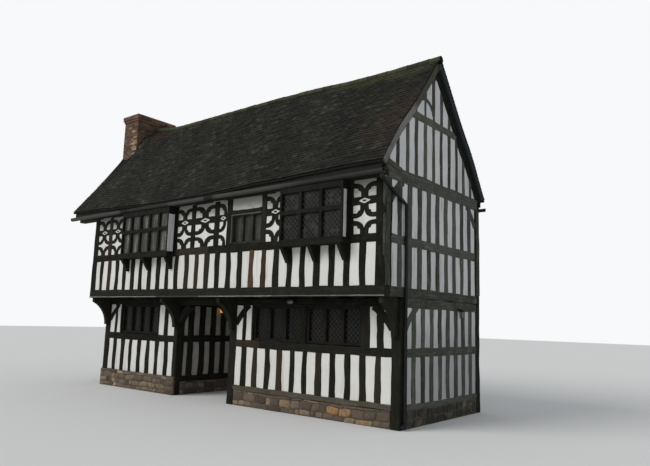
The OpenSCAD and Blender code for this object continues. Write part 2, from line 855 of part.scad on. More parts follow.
// The little arched panel on the collar, with a thin bar under the stud that stands on the arch
module gable_arch_2d() {
    intersection() {
        rect(0, collar_top_z, upper_depth, under_apex_z);
        translate([arch_y, collar_top_z]) difference() {
            circle(r = arch_r + arch_t);
            circle(r = arch_r);
        }
    }
    rect(arch_stud_y - mullion_w / 2, collar_z, arch_stud_y + mullion_w / 2,
        collar_top_z + arch_r + arch_t / 2);
}

module gable_triangle_2d() {
    difference() {
        roof_triangle(0);
        roof_triangle(gable_rafter_v);
    }
    intersection() {
        roof_triangle(gable_rafter_v / 2);
        union() {
            gable_studs(plate_top_z, collar_z);
            rect(0, collar_z, upper_depth, collar_top_z);
            difference() {
                gable_studs(collar_z, under_apex_z);
                translate([arch_y, collar_top_z]) circle(r = arch_r + arch_t / 2);
            }
            gable_arch_2d();
        }
    }
}

module gable_timbers_2d() {
    y0 = jetty + corner_w;
    y1 = upper_depth - corner_w;
    lower_n = gable_panels - 1;
    rect(y0, sill_z, y1, ground_z);
    rect(y0, ground_plate_z, y1, floor_z);
    rect(y0, ground_rail_z, y1, ground_top_z);
    studs(y0, y1, lower_n, ground_z, ground_rail_z);
    studs(y0, y1, lower_n, ground_top_z, ground_plate_z);
    arch_brace(y0, ground_plate_z, 1);
    rect(jetty_beam_w, floor_z, rear_y, upper_z);
    rect(corner_w, upper_rail_z, y1, star_z);
    studs(corner_w, y1, gable_panels, upper_z, upper_rail_z);
    studs(corner_w, y1, gable_panels, star_z, plate_z);
    arch_brace(corner_w, plate_z, 1);
    arch_brace(y1, plate_z, -1);
    rect(plate_w, plate_z, upper_depth - plate_w, plate_top_z);
    gable_triangle_2d();
}

module gable_2d() {
    difference() {
        gable_timbers_2d();
        roof_beams_2d();
    }
}

module gable_infill_2d() {
    difference() {
        gable_outline_2d();
        gable_timbers_2d();
        roof_beams_2d();
    }
}

module left_gable_frame() {
    place() color("#3a332d") end_wall(0, frame_t) gable_2d();
}

module left_gable_infill() {
    place() color("#e8e4da") end_wall(infill_set, infill_t) gable_infill_2d();
}

module right_gable_frame() {
    place() color("#3a332d") end_wall(front_len - frame_t, frame_t) gable_2d();
}

module right_gable_infill() {
    place() color("#e8e4da") end_wall(front_len - infill_set - infill_t, infill_t) gable_infill_2d();
}

// Windows. A window frame is its rim with upright bars, n lights wide.
module lights_2d(x0, x1, z0, z1, n) {
    light_w = (x1 - x0 - 2 * window_rim - (n - 1) * mullion_w) / n;
    difference() {
        rect(x0, z0, x1, z1);
        for (k = [0:n - 1])
            translate([x0 + window_rim + k * (light_w + mullion_w), z0 + window_rim])
                square([light_w, z1 - z0 - 2 * window_rim]);
    }
}

module left_ground_window() {
    place() color("#2b2723") front_wall(jetty + window_set, window_t)
        lights_2d(left_window_x, left_window_x1, ground_top_z, ground_plate_z, 4);
}

module right_ground_window() {
    place() color("#2b2723") front_wall(jetty + window_set, window_t) {
        lights_2d(right_window_x0, right_window_mid - window_post_w / 2, ground_top_z, ground_plate_z, 3);
        lights_2d(right_window_mid + window_post_w / 2, right_window_x1, ground_top_z, ground_plate_z, 3);
    }
}

module ground_glass() {
    place() color("#3d474b") front_wall(jetty + window_set + window_t, glass_t) {
        rect(left_window_x, ground_top_z, left_window_x1, ground_plate_z);
        rect(right_window_x0, ground_top_z, right_window_mid - window_post_w / 2, ground_plate_z);
        rect(right_window_mid + window_post_w / 2, ground_top_z, right_window_x1, ground_plate_z);
    }
}

// An oriel is a shallow box of two rows of lights with plaster cheeks, on a sill with three brackets
oriel_sill_z = upper_rail_z + oriel_sill_h;
oriel_head_z = plate_z - oriel_head_h;

module oriel_bracket(x) {
    end_wall(x - oriel_bracket_w / 2, oriel_bracket_w)
        polygon([[0, upper_rail_z], [-oriel_out, upper_rail_z],
            [-oriel_out, upper_rail_z - oriel_bracket_toe],
            [-oriel_bracket_toe, upper_rail_z - oriel_bracket_h], [0, upper_rail_z - oriel_bracket_h]]);
}

module oriel(x0, w, n) {
    a = x0 - oriel_side_w;
    b = x0 + w + oriel_side_w;
    transom_z = oriel_sill_z + window_rim + oriel_low_h;
    color("#2b2723") union() {
        front_wall(-oriel_out, window_t) {
            lights_2d(a, b, oriel_sill_z, transom_z + window_rim, n);
            lights_2d(a, b, transom_z + oriel_transom_h - window_rim, oriel_head_z + window_rim, n);
            rect(a, oriel_head_z, b, plate_z);
        }
        block(a - oriel_lip, -oriel_out - oriel_lip, upper_rail_z, b + oriel_lip, 0, oriel_sill_z);
        block(a, -oriel_out + window_t, oriel_head_z, b, 0, plate_z);
        for (x = [a, b - oriel_side_w])
            block(x, -oriel_stile_w, oriel_sill_z, x + oriel_side_w, 0, oriel_head_z);
        for (x = [a + oriel_bracket_w, (a + b) / 2, b - oriel_bracket_w]) oriel_bracket(x);
    }
    color("#e8e4da") for (x = [a, b - oriel_side_w])
        block(x, -oriel_out + window_t, oriel_sill_z, x + oriel_side_w, -oriel_stile_w, oriel_head_z);
}

module left_oriel() {
    place() oriel(left_oriel_x, left_oriel_w, 5);
}

module right_oriel() {
    place() oriel(right_oriel_x, right_oriel_w, 3);
}

module middle_window() {
    place() color("#2b2723") front_wall(window_set, window_t)
        lights_2d(middle_window_x, middle_window_x + middle_window_w, star_z, star_z + middle_window_h, 3);
}

module rear_windows() {
    place() color("#2b2723") front_wall(upper_depth - window_set - window_t, window_t)
        for (x = rear_window_x) lights_2d(x, x + middle_window_w, star_z, star_z + middle_window_h, 3);
}

module upper_glass() {
    place() color("#3d474b") {
        for (bay = [[left_oriel_x, left_oriel_w], [right_oriel_x, right_oriel_w]])
            front_wall(-oriel_out + window_t, glass_t)
                rect(bay[0], oriel_sill_z, bay[0] + bay[1], oriel_head_z);
        front_wall(window_set + window_t, glass_t)
            rect(middle_window_x, star_z, middle_window_x + middle_window_w, star_z + middle_window_h);
        front_wall(upper_depth - window_set - window_t - glass_t, glass_t)
            for (x = rear_window_x) rect(x, star_z, x + middle_window_w, star_z + middle_window_h);
    }
}

// Roof
module roof_timbers() {
    place() color("#4a4038") {
        end_wall(rafter_x0, front_len - rafter_x0) {
            rect(0, plate_z, plate_w, plate_top_z);
            rect(upper_depth - plate_w, plate_z, upper_depth, plate_top_z);
        }
        end_wall(rafter_x0, front_len - rafter_x0) {
            purlin_2d(purlin_y, 1);
            purlin_2d(upper_depth - purlin_y, -1);
        }
        end_wall(stack_x1, front_len - stack_x1) ridge_beam_2d();
    }
}

// The notch in the roof's left end, where the stack goes up
module stack_notch() {
    block(stack_x0 - stack_w, stack_y0, plate_z, stack_x1, stack_y1, apex_z + stack_over);
}

// The front slope. The rear one is its mirror image about the ridge.
module slope() {
    difference() {
        union() {
            end_wall(roof_x0, roof_x1 - roof_x0)
                polygon([[-eaves_out, eaves_z - tile_v], [-eaves_out, eaves_z], [ridge_y, apex_z],
                    [ridge_y, apex_z - tile_v]]);
            end_wall(rafter_x0, rafter_x1 - rafter_x0)
                polygon([[0, plate_top_z], [0, tile_top(0) - tile_v + tile_lap],
                    [ridge_y, apex_z - tile_v + tile_lap], [ridge_y, under_apex_z],
                    [rafter_seat, plate_top_z]]);
        }
        stack_notch();
    }
}

module about_ridge() {
    translate([0, ridge_y, 0]) mirror([0, 1, 0]) translate([0, -ridge_y, 0]) children();
}

module front_roof_slope() {
    place() color("#4f4a40") slope();
}

module rear_roof_slope() {
    place() color("#4f4a40") about_ridge() slope();
}

module ridge_tiles() {
    place() color("#7a4f3a") end_wall(stack_x1, roof_x1 - stack_x1) difference() {
        translate([ridge_y, apex_z - ridge_drop]) circle(r = ridge_r);
        polygon([[-eaves_out, eaves_z], [ridge_y, apex_z], [upper_depth + eaves_out, eaves_z]]);
    }
}

// A pair of bargeboards, butted under the apex, their feet cut level behind the gutters
module bargeboard_2d() {
    low = tile_v + barge_w / cos(roof_pitch);
    foot_z = eaves_z - tile_v - 2 * gutter_r;
    intersection() {
        polygon([[-eaves_out, eaves_z - tile_v], [ridge_y, apex_z - tile_v],
            [upper_depth + eaves_out, eaves_z - tile_v], [upper_depth + eaves_out, eaves_z - low],
            [ridge_y, apex_z - low], [-eaves_out, eaves_z - low]]);
        rect(eaves_board_y + gutter_gap, foot_z, upper_depth - eaves_board_y - gutter_gap, apex_z);
    }
}

module left_bargeboards() {
    place() color("#6b665c") difference() {
        end_wall(roof_x0 + barge_set, barge_t) bargeboard_2d();
        stack_notch();
    }
}

module right_bargeboards() {
    place() color("#6b665c") end_wall(rafter_x1, barge_t) bargeboard_2d();
}

// The pale boards that close the eaves stand in three lengths, given as parts of the front's length
EAVES_SPANS = [[0.005, 0.142], [0.187, 0.505], [0.536, 0.995]];

module eaves_board(span) {
    y0 = eaves_board_y;
    y1 = eaves_board_y + eaves_board_t;
    end_wall(span[0] * front_len, (span[1] - span[0]) * front_len)
        polygon([[y0, plate_z], [y1, plate_z], [y1, tile_top(y1) - tile_v], [y0, tile_top(y0) - tile_v]]);
}

module eaves_boards() {
    place() color("#b9b6ab") {
        for (span = EAVES_SPANS) eaves_board(span);
        about_ridge() eaves_board([EAVES_SPANS[0][0], EAVES_SPANS[2][1]]);
    }
}

gutter_z = eaves_z - tile_v - gutter_t;

module gutter_2d() {
    translate([eaves_board_y - gutter_r, gutter_z]) difference() {
        circle(r = gutter_r);
        circle(r = gutter_r - gutter_t);
        rect(-2 * gutter_r, 0, 2 * gutter_r, 2 * gutter_r);
    }
}

module gutter() {
    end_wall(roof_x0, roof_x1 - roof_x0) gutter_2d();
}

module gutters() {
    place() color("#23282b") {
        gutter();
        about_ridge() gutter();
    }
}

// The downpipe leaves the gutter's right end and bends round the corner to the gable
module pipe_run(a, b) {
    v = b - a;
    translate(a) rotate([0, acos(v[2] / norm(v)), atan2(v[1], v[0])]) cylinder(r = pipe_r, h = norm(v));
}

module pipe_elbow(at) {
    translate(at) sphere(r = pipe_r + pipe_gap / 2);
}

module downpipe() {
    outlet = [pipe_x, eaves_board_y - gutter_r, gutter_z - gutter_r];
    bend = outlet - [0, 0, 2 * pipe_r];
    turn = [pipe_x, pipe_y, bend[2] - pipe_fall];
    foot = [pipe_x, pipe_y, 3 * pipe_r];
    place() color("#1f2528") union() {
        pipe_run(outlet, bend);
        pipe_elbow(bend);
        pipe_run(bend, turn);
        pipe_elbow(turn);
        pipe_run(turn, foot);
        pipe_elbow(foot);
        pipe_run(foot, foot + [0, -3 * pipe_r, -pipe_r]);
        for (z = [ground_rail_z, ground_plate_z + ground_plate_h / 2, upper_rail_z + rail_h / 2])
            block(front_len, pipe_y - clip_h / 2, z, pipe_x, pipe_y + clip_h / 2, z + clip_h);
    }
}

// Brick stack over its breast, with projecting courses at the head
module chimney() {
    shoulder_z = plate_z;
    top_z = apex_z + stack_over;
    place() color("#8b4a36") difference() {
        union() {
            block(stack_x0, ridge_y - breast_d / 2, 0, 0, ridge_y + breast_d / 2, shoulder_z);
            front_wall(stack_y0, stack_d)
                polygon([[stack_x0, shoulder_z], [0, shoulder_z], [stack_x1, shoulder_z + shoulder_h],
                    [stack_x1, top_z], [stack_x0, top_z]]);
            for (k = [1:2])
                block(stack_x0 - k * course_out, stack_y0 - k * course_out, top_z - (4 - k) * course_h,
                    stack_x1 + k * course_out, stack_y1 + k * course_out, top_z - (2 - k) * course_h);
        }
        for (k = [0:1])
            block(stack_x0 + flue_wall, stack_y0 + flue_wall + k * (stack_d - flue_wall) / 2,
                top_z - flue_depth, stack_x1 - flue_wall,
                stack_y0 + (k + 1) * (stack_d - flue_wall) / 2, top_z + 1);
    }
}

// A six-sided lamp under an arm from the wall at x, y
module lamp(x, y) {
    translate([x + lamp_out, y, lamp_z]) cylinder(r1 = lamp_r * 0.7, r2 = lamp_r, h = lamp_h, $fn = 6);
    translate([x + lamp_out, y, lamp_z + lamp_h])
        cylinder(r1 = lamp_cap_r, r2 = lamp_arm, h = lamp_cap_h, $fn = 6);
    block(x, y - lamp_arm / 2, lamp_arm_z, x + lamp_out, y + lamp_arm / 2, lamp_arm_z + lamp_arm);
}

// An oval lamp on the right front's plate, with round ends
module oval_lamp() {
    front_wall(jetty - oval_out, oval_out) translate([front_len - oval_in, ground_plate_z + ground_plate_h / 2]) {
        square(oval_h, center = true);
        for (s = [-1, 1]) translate([s * oval_h / 2, 0]) circle(d = oval_h);
    }
}

// A lantern on the passage wall, a lamp on the right gable and the oval one
module lamps() {
    place() color("#2a2a28") {
        lamp(left_cheek_x + cheek_t, lantern_y);
        lamp(front_len, lamp_y);
        oval_lamp();
    }
}

left_plinth();
right_plinth();
left_front_frame();
left_front_infill();
right_front_frame();
right_front_infill();
left_rear_frame();
left_rear_infill();
right_rear_frame();
right_rear_infill();
left_passage_frame();
left_passage_infill();
right_passage_frame();
right_passage_infill();
passage_lintels();
left_door();
right_door();
upper_floor();
floor_joists();
jetty_beam();
jetty_brackets();
upper_front_frame();
star_frames();
upper_front_infill();
upper_rear_frame();
upper_rear_infill();
left_gable_frame();
left_gable_infill();
right_gable_frame();
right_gable_infill();
left_ground_window();
right_ground_window();
ground_glass();
left_oriel();
right_oriel();
middle_window();
rear_windows();
upper_glass();
roof_timbers();
front_roof_slope();
rear_roof_slope();
ridge_tiles();
left_bargeboards();
right_bargeboards();
eaves_boards();
gutters();
downpipe();
chimney();
lamps();
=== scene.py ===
"""Half timbered house: hewn oak frames and limewashed panels on a stone plinth, under a tiled roof.

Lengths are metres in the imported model's frame: +X along the front, +Y into the house, +Z up.
"""
import math
import bpy
import numpy as np
from mathutils import Matrix, Vector


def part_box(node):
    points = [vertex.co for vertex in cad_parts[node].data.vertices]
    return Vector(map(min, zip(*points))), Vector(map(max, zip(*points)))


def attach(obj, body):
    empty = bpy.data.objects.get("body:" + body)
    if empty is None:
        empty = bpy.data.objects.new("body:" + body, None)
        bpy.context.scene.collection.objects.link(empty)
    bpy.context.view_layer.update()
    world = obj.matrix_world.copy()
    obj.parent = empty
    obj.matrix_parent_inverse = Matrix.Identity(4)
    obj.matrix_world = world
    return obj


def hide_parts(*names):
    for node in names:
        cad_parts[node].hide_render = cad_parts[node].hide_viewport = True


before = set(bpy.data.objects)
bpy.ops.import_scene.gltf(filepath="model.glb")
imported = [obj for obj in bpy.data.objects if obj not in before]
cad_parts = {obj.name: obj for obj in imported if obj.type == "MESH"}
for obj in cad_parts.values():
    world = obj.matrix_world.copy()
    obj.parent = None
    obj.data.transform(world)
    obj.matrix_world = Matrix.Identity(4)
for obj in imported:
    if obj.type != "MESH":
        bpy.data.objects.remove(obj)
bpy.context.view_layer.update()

# Camera
# It stands in the road before the right corner, at eye height, and looks up a little towards the left.
# Place, turn and focal length were fitted to the corners, studs, eaves and ridge of the house.
eye = np.array([12.5446, -12.3231, 2.1444])
yaw, pitch, roll = 0.6763343, 0.1484497, 0.0289341
forward = np.array([-math.sin(yaw) * math.cos(pitch), math.cos(yaw) * math.cos(pitch), math.sin(pitch)])
level = np.array([math.cos(yaw), math.sin(yaw), 0.0])
upward = np.cross(level, forward)
right = math.cos(roll) * level + math.sin(roll) * upward
above = math.cos(roll) * upward - math.sin(roll) * level
focal_length, photo_width = 592.937, 650.0
camera = bpy.data.cameras.new("camera")
camera.sensor_width = 36.0
camera.lens = focal_length * camera.sensor_width / photo_width
camera.clip_end = 400.0
scene = bpy.context.scene


def put(name, data):
    """A new object with this data, in the scene."""
    made = bpy.data.objects.new(name, data)
    scene.collection.objects.link(made)
    return made


camera_object = put("camera", camera)
turn = Matrix([[right[k], above[k], -forward[k]] for k in range(3)]).to_4x4()
camera_object.matrix_world = Matrix.Translation(Vector(eye)) @ turn
scene.camera = camera_object

# Stone plinths
# Brown sandstone rubble laid in rough courses with wide lime joints, some stones stained orange.
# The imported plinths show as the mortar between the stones, and each stone's face stands proud of it.
front_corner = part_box("upper_front_frame")[0]
house = np.array([front_corner.x, front_corner.y, 0.0])
front_end, depth_y, jetty, plinth_top = 11.0, 4.5, 0.64, 0.36
X, Y, LEFT, FRONT, REAR = (1, 0, 0), (0, 1, 0), (-1, 0, 0), (0, -1, 0), (0, 1, 0)


def build(name, parts, finish, node=None, smooth=False):
    """One piece from parts of (points, faces, marks), in the house's own coordinates.

    Points lie end to end in one array, and each part's face numbers are raised by the points before it.
    """
    points = np.concatenate([p[0] for p in parts]) + house
    starts = np.cumsum([0] + [len(p[0]) for p in parts[:-1]])
    faces = [f + s for p, s in zip(parts, starts) for f in p[1]]
    counts = np.concatenate([np.full(len(f), f.shape[1]) for f in faces])
    mesh = bpy.data.meshes.new(name)
    mesh.vertices.add(len(points))
    mesh.vertices.foreach_set("co", points.astype(np.float32).ravel())
    corners = np.concatenate([f.ravel() for f in faces]).astype(np.int32)
    mesh.loops.add(len(corners))
    mesh.loops.foreach_set("vertex_index", corners)
    mesh.polygons.add(len(counts))
    mesh.polygons.foreach_set("loop_start", (np.cumsum(counts) - counts).astype(np.int32))
    mesh.polygons.foreach_set("use_smooth", np.full(len(counts), smooth))
    for mark in parts[0][2]:
        values = np.concatenate([np.asarray(p[2][mark], np.float32).reshape(len(p[0]), -1) for p in parts])
        kind, field = ("FLOAT", "value") if values.shape[1] == 1 else ("FLOAT_VECTOR", "vector")
        mesh.attributes.new(mark, kind, "POINT").data.foreach_set(field, values.ravel())
    mesh.update(calc_edges=True)
    mesh.validate()
    mesh.materials.append(finish)
    piece = put(name, mesh)
    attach(piece, "root")
    if node:
        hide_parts(node)


class Value:
    """A socket in a finish. Sums, differences, products and quotients of values add Math nodes."""

    def __init__(self, finish, socket):
        self.finish, self.socket = finish, socket

    def math(self, operation, a, b):
        return self.finish.node("ShaderNodeMath", {"operation": operation}, {0: a, 1: b})

    def __add__(self, other):
        return self.math("ADD", self, other)

    def __radd__(self, other):
        return self.math("ADD", other, self)

    def __sub__(self, other):
        return self.math("SUBTRACT", self, other)

    def __rsub__(self, other):
        return self.math("SUBTRACT", other, self)

    def __mul__(self, other):
        return self.math("MULTIPLY", self, other)

    def __rmul__(self, other):
        return self.math("MULTIPLY", other, self)

    def __truediv__(self, other):
        return self.math("DIVIDE", self, other)

    def __rtruediv__(self, other):
        return self.math("DIVIDE", other, self)

    def step(self, low, high):
        """0 below low, 1 above high and a smooth rise between them."""
        return self.finish.node("ShaderNodeMapRange", {"interpolation_type": "SMOOTHSTEP"},
                                {"Value": self, "From Min": low, "From Max": high})


class Finish:
    """A material, or the sky, whose nodes are written as expressions."""

    def __init__(self, name, kind="materials"):
        self.owner = getattr(bpy.data, kind).new(name)
        self.owner.use_nodes = True
        self.tree = self.owner.node_tree
        self.tree.nodes.clear()

    def node(self, kind, settings, sockets, output=0):
        made = self.tree.nodes.new(kind)
        for key, value in settings.items():
            if key == "stops":
                ramp = made.color_ramp.elements
                while len(ramp) < len(value):
                    ramp.new(1.0)
                for element, (place, colour) in zip(ramp, value):
                    element.position, element.color = place, (*colour, 1.0)
            else:
                setattr(made, key, value)
        for key, value in sockets.items():
            if isinstance(value, Value):
                self.tree.links.new(value.socket, made.inputs[key])
            else:
                made.inputs[key].default_value = value
        return Value(self, made.outputs[output]) if made.outputs else None

    def mark(self, name, output="Fac"):
        return self.node("ShaderNodeAttribute", {"attribute_name": name}, {}, output)

    def place(self):
        return self.node("ShaderNodeTexCoord", {}, {}, "Object")

    def split(self, vector, axis):
        return self.node("ShaderNodeSeparateXYZ", {}, {0: vector}, axis)

    def stretch(self, vector, x, y, z):
        return self.node("ShaderNodeVectorMath", {"operation": "MULTIPLY"}, {0: vector, 1: (x, y, z)})

    def noise(self, vector, scale, detail=4.0, rough=0.55):
        return self.node("ShaderNodeTexNoise", {}, {"Vector": vector, "Scale": scale, "Detail": detail,
                                                    "Roughness": rough})

    def ramp(self, factor, *stops):
        return self.node("ShaderNodeValToRGB", {"stops": stops}, {"Fac": factor})

    def mix(self, factor, a, b):
        return self.node("ShaderNodeMix", {"data_type": "RGBA", "clamp_factor": True},
                         {0: factor, 6: a, 7: b}, 2)

    def bump(self, height, strength, distance):
        return self.node("ShaderNodeBump", {}, {"Height": height, "Strength": strength, "Distance": distance})

    def done(self, sockets):
        shader = self.node("ShaderNodeBsdfPrincipled", {}, sockets)
        self.node("ShaderNodeOutputMaterial", {}, {"Surface": shader})
        return self.owner


def rgb(red, green, blue):
    """A colour as a screen shows it, from 0 to 255, turned to the linear values that shaders take."""
    return tuple(c / 12.92 if c <= 0.04045 else ((c + 0.055) / 1.055) ** 2.4
                 for c in (red / 255, green / 255, blue / 255))


def colour(red, green, blue):
    return (*rgb(red, green, blue), 1.0)


def rubble_finish(moss):
    """Stone whose tone differs from stone to stone, with grain, pale scars, and moss where it is damp."""
    f = Finish("rubble_mossy" if moss else "rubble")
    grain = f.noise(f.place(), 14.0, 6.0, 0.65)
    broad = f.noise(f.place(), 3.1, 3.0)
    base = f.ramp(f.mark("tone"), (0.0, rgb(64, 55, 46)), (0.45, rgb(102, 88, 73)), (0.8, rgb(136, 118, 95)),
                  (0.92, rgb(158, 118, 74)), (1.0, rgb(172, 160, 138)))
    worn = f.mix(grain.step(0.42, 0.62) * 0.5, base, colour(76, 66, 55))
    rusty = f.mix(broad.step(0.6, 0.72) * (0.15 if moss else 0.6), worn, colour(132, 94, 54))
    damp = (broad + grain * 0.5).step(0.5, 0.72) * 0.92 if moss else (broad + grain * 0.5).step(0.86, 1.05) * 0.5
    green = f.mix(damp, rusty, colour(30, 34, 20) if moss else colour(74, 72, 52))
    rough = f.noise(f.place(), 60.0, 5.0, 0.7)
    return f.done({"Base Color": green, "Roughness": 0.9,
                   "Normal": f.bump(grain * 0.7 + rough * 0.3, 0.7, 0.012)})


def mortar_finish():
    f = Finish("lime_mortar")
    grain = f.noise(f.place(), 22.0, 6.0, 0.7)
    return f.done({"Base Color": f.mix(grain.step(0.35, 0.7), colour(90, 79, 65), colour(56, 49, 40)),
                   "Roughness": 0.95, "Normal": f.bump(grain, 0.8, 0.01)})


def grid_faces(rows, columns):
    """Four-cornered faces between neighbours of a grid of points, with its first index down the rows."""
    at = np.arange(rows * columns).reshape(rows, columns)
    return np.stack([at[:-1, :-1], at[1:, :-1], at[1:, 1:], at[:-1, 1:]], -1).reshape(-1, 4)


def on_wall(wall, u, v, w):
    """Points of a wall: u runs along it, v upwards and w outwards from its face."""
    origin, along, out = (np.array(p, float) for p in wall)
    return origin + u[..., None] * along + v[..., None] * np.array([0.0, 0.0, 1.0]) + w[..., None] * out


def facing(wall, faces):
    """The faces, with their corners in the other order where u, v and w make a left-handed set."""
    return [f[:, ::-1] for f in faces] if np.dot(np.cross(wall[1], (0, 0, 1)), wall[2]) < 0 else faces


def rubble(wall, length, height, seed):
    """Stones in rough courses, which rise and fall by sines of the length.

    A stone's relief falls off as the root of (1 - a^6)(1 - b^6) over its face, plus a slant.
    """
    rng = np.random.default_rng(seed)
    parts = []
    levels = [0.0]
    while levels[-1] < height - 0.05:
        levels.append(min(height, levels[-1] + rng.uniform(0.1, 0.19)))
    levels[-1] = height
    a = np.array([-1.0, -0.97, -0.78, -0.3, 0.3, 0.78, 0.97, 1.0])
    fall = np.clip(1.0 - np.abs(a) ** 6, 0.0, 1.0)
    for low, high in zip(levels[:-1], levels[1:]):
        ends = [0.0]
        while ends[-1] < length:
            ends.append(ends[-1] + rng.uniform(0.13, 0.5))
        ends = np.array(ends) * length / ends[-1]
        for left, far in zip(ends[:-1], ends[1:]):
            half_u, half_v = (far - left) / 2 - 0.004, (high - low) / 2 - 0.004
            slack = rng.normal(0, 0.004, (2, 8, 8))
            lean = rng.normal(0, 0.018)
            u = (left + far) / 2 + half_u * a[:, None] * (1 - 0.12 * a[None, :] ** 2) + lean * a[None, :] + slack[0]
            v = (low + high) / 2 + half_v * a[None, :] * (1 - 0.16 * a[:, None] ** 2) + slack[1]
            v = v + 0.016 * np.sin(2.9 * u + 4.0 * low) + 0.007 * np.sin(9.0 * u + seed)
            relief = np.outer(fall, fall) ** 0.5 * rng.uniform(0.008, 0.024)
            w = relief * (1 + 0.2 * rng.normal() * a[:, None]) + rng.normal(0, 0.0014, (8, 8)) - 0.004
            w[[0, -1]] = w[:, [0, -1]] = -0.02
            points = on_wall(wall, np.clip(u, 0, length), np.clip(v, 0.0, height), w).reshape(-1, 3)
            tone = np.full(64, np.clip(rng.normal(0.48, 0.24), 0, 1))
            parts.append((points, facing(wall, [grid_faces(8, 8)]), {"tone": tone}))
    return parts


def dress(node, finish, bevel=0.0):
    """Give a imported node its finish, and a small bevel where its real edges are eased."""
    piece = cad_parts[node]
    piece.data.materials.clear()
    piece.data.materials.append(finish)
    if bevel:
        eased = piece.modifiers.new("eased_edges", "BEVEL")
        eased.width, eased.segments, eased.limit_method = bevel, 2, "ANGLE"


rubble_stone, mossy_stone, lime_mortar = rubble_finish(False), rubble_finish(True), mortar_finish()
dress("left_plinth", lime_mortar)
dress("right_plinth", lime_mortar)
for name, finish, *faces in (
        ("left_front_stones", rubble_stone, (0, 0.585, X, FRONT, 3.69, 0.5, 11)),
        ("right_front_stones", rubble_stone, (6.07, jetty, X, FRONT, 4.69, plinth_top, 12)),
        ("right_gable_stones", mossy_stone, (front_end, 0.88, Y, X, 3.38, plinth_top, 13)),
        ("left_gable_stones", mossy_stone, (0, jetty, Y, LEFT, 0.73, plinth_top, 14),
         (0, 3.13, Y, LEFT, 1.13, plinth_top, 15)),
        ("rear_stones", mossy_stone, (0.24, depth_y, X, REAR, 3.27, plinth_top, 16),
         (6.07, depth_y, X, REAR, 4.69, plinth_top, 17)),
        ("passage_stones", rubble_stone, (3.69, 0.81, Y, X, 3.52, plinth_top, 18),
         (5.89, 0.81, Y, LEFT, 3.52, plinth_top, 19))):
    build(name, [stone for x, y, along, out, length, height, seed in faces
                 for stone in rubble(((x, y, 0), along, out), length, height, seed)], finish, smooth=True)

# Ground storey timbers
# Oak posts, studs and rails, hewn by axe, stained black long ago and weathered to brown and grey since.
# They are pegged together in one plane, so every face is nearly flush and every edge wanders a little.


def oak_finish(name, dark, light, silver, axis=None, mossy=None):
    """Oak with grain along its length, a tone of its own, grey weathering and green-brown algae.

    The grain is noise drawn out along the timber. It reads the timber's own grain mark, or Object
    coordinates with the given axis as the length. Tones over 0.75 are timbers that have gone brown or red.
    """
    f = Finish(name)
    place = f.mark("grain", "Vector") if axis is None else f.place()
    tone = f.mark("tone") if axis is None else f.noise(place, 0.9, 1.0)
    squeeze = [1.0, 1.0, 1.0]
    squeeze[2 if axis is None else axis] = 0.045
    streak = f.noise(f.stretch(place, *(38.0 * s for s in squeeze)), 1.0, 5.0, 0.6)
    fibre = f.noise(f.stretch(place, *(150.0 * s for s in squeeze)), 1.0, 4.0, 0.6)
    patch = f.noise(place, 2.3, 3.0)
    algae = f.noise(place, 5.5, 4.0)
    wood = f.ramp(tone, (0.0, dark), (0.7, light), (0.78, rgb(52, 46, 38)), (0.88, rgb(66, 50, 37)),
                  (1.0, rgb(98, 68, 52)))
    worn = f.mix(f.noise(place, 8.0, 5.0, 0.7).step(0.5, 0.72) * 0.35, wood, silver)
    weathered = f.mix(streak.step(0.44, 0.7) * patch.step(0.35, 0.68) * 0.75, worn, silver)
    green = f.mix(algae.step(0.48, 0.68) * (0.6 if mossy else 0.3), weathered, mossy or colour(46, 48, 32))
    cracked = f.mix(streak.step(0.36, 0.27), green, colour(7, 7, 5))
    finished = f.mix(fibre.step(0.62, 0.4) * 0.35, cracked, colour(13, 12, 10))
    height = streak.step(0.25, 0.5) * 0.7 + fibre * 0.3
    return f.done({"Base Color": finished, "Roughness": 0.88, "Specular IOR Level": 0.12,
                   "Normal": f.bump(height, 0.75, 0.008)})


stud, frame_depth = 0.19, 0.17


def beams(height, width, *spans):
    """Rows of (u0, v0, u1, v1, width) for level timbers of one height, over spans from u0 to u1."""
    return np.array([(u0, height, u1, height, width) for u0, u1 in spans], float)


def uprights(foot, head, *places):
    """Rows of (u0, v0, u1, v1, width) for upright timbers, at places given as u and width."""
    return np.array([(u, foot, u, head, width) for u, width in places], float)


def studs(left, far, count, low, high):
    """Rows of (u0, v0, u1, v1, width) for studs that part the width from left to far into equal panels.

    Their ends are let 20 mm into the rails.
    """
    k = np.arange(1, count)
    middle = left + k * (far - left + stud) / count - stud / 2
    return np.stack([middle, low - 0.02 + 0 * k, middle, high + 0.02 + 0 * k, stud + 0 * k], 1)


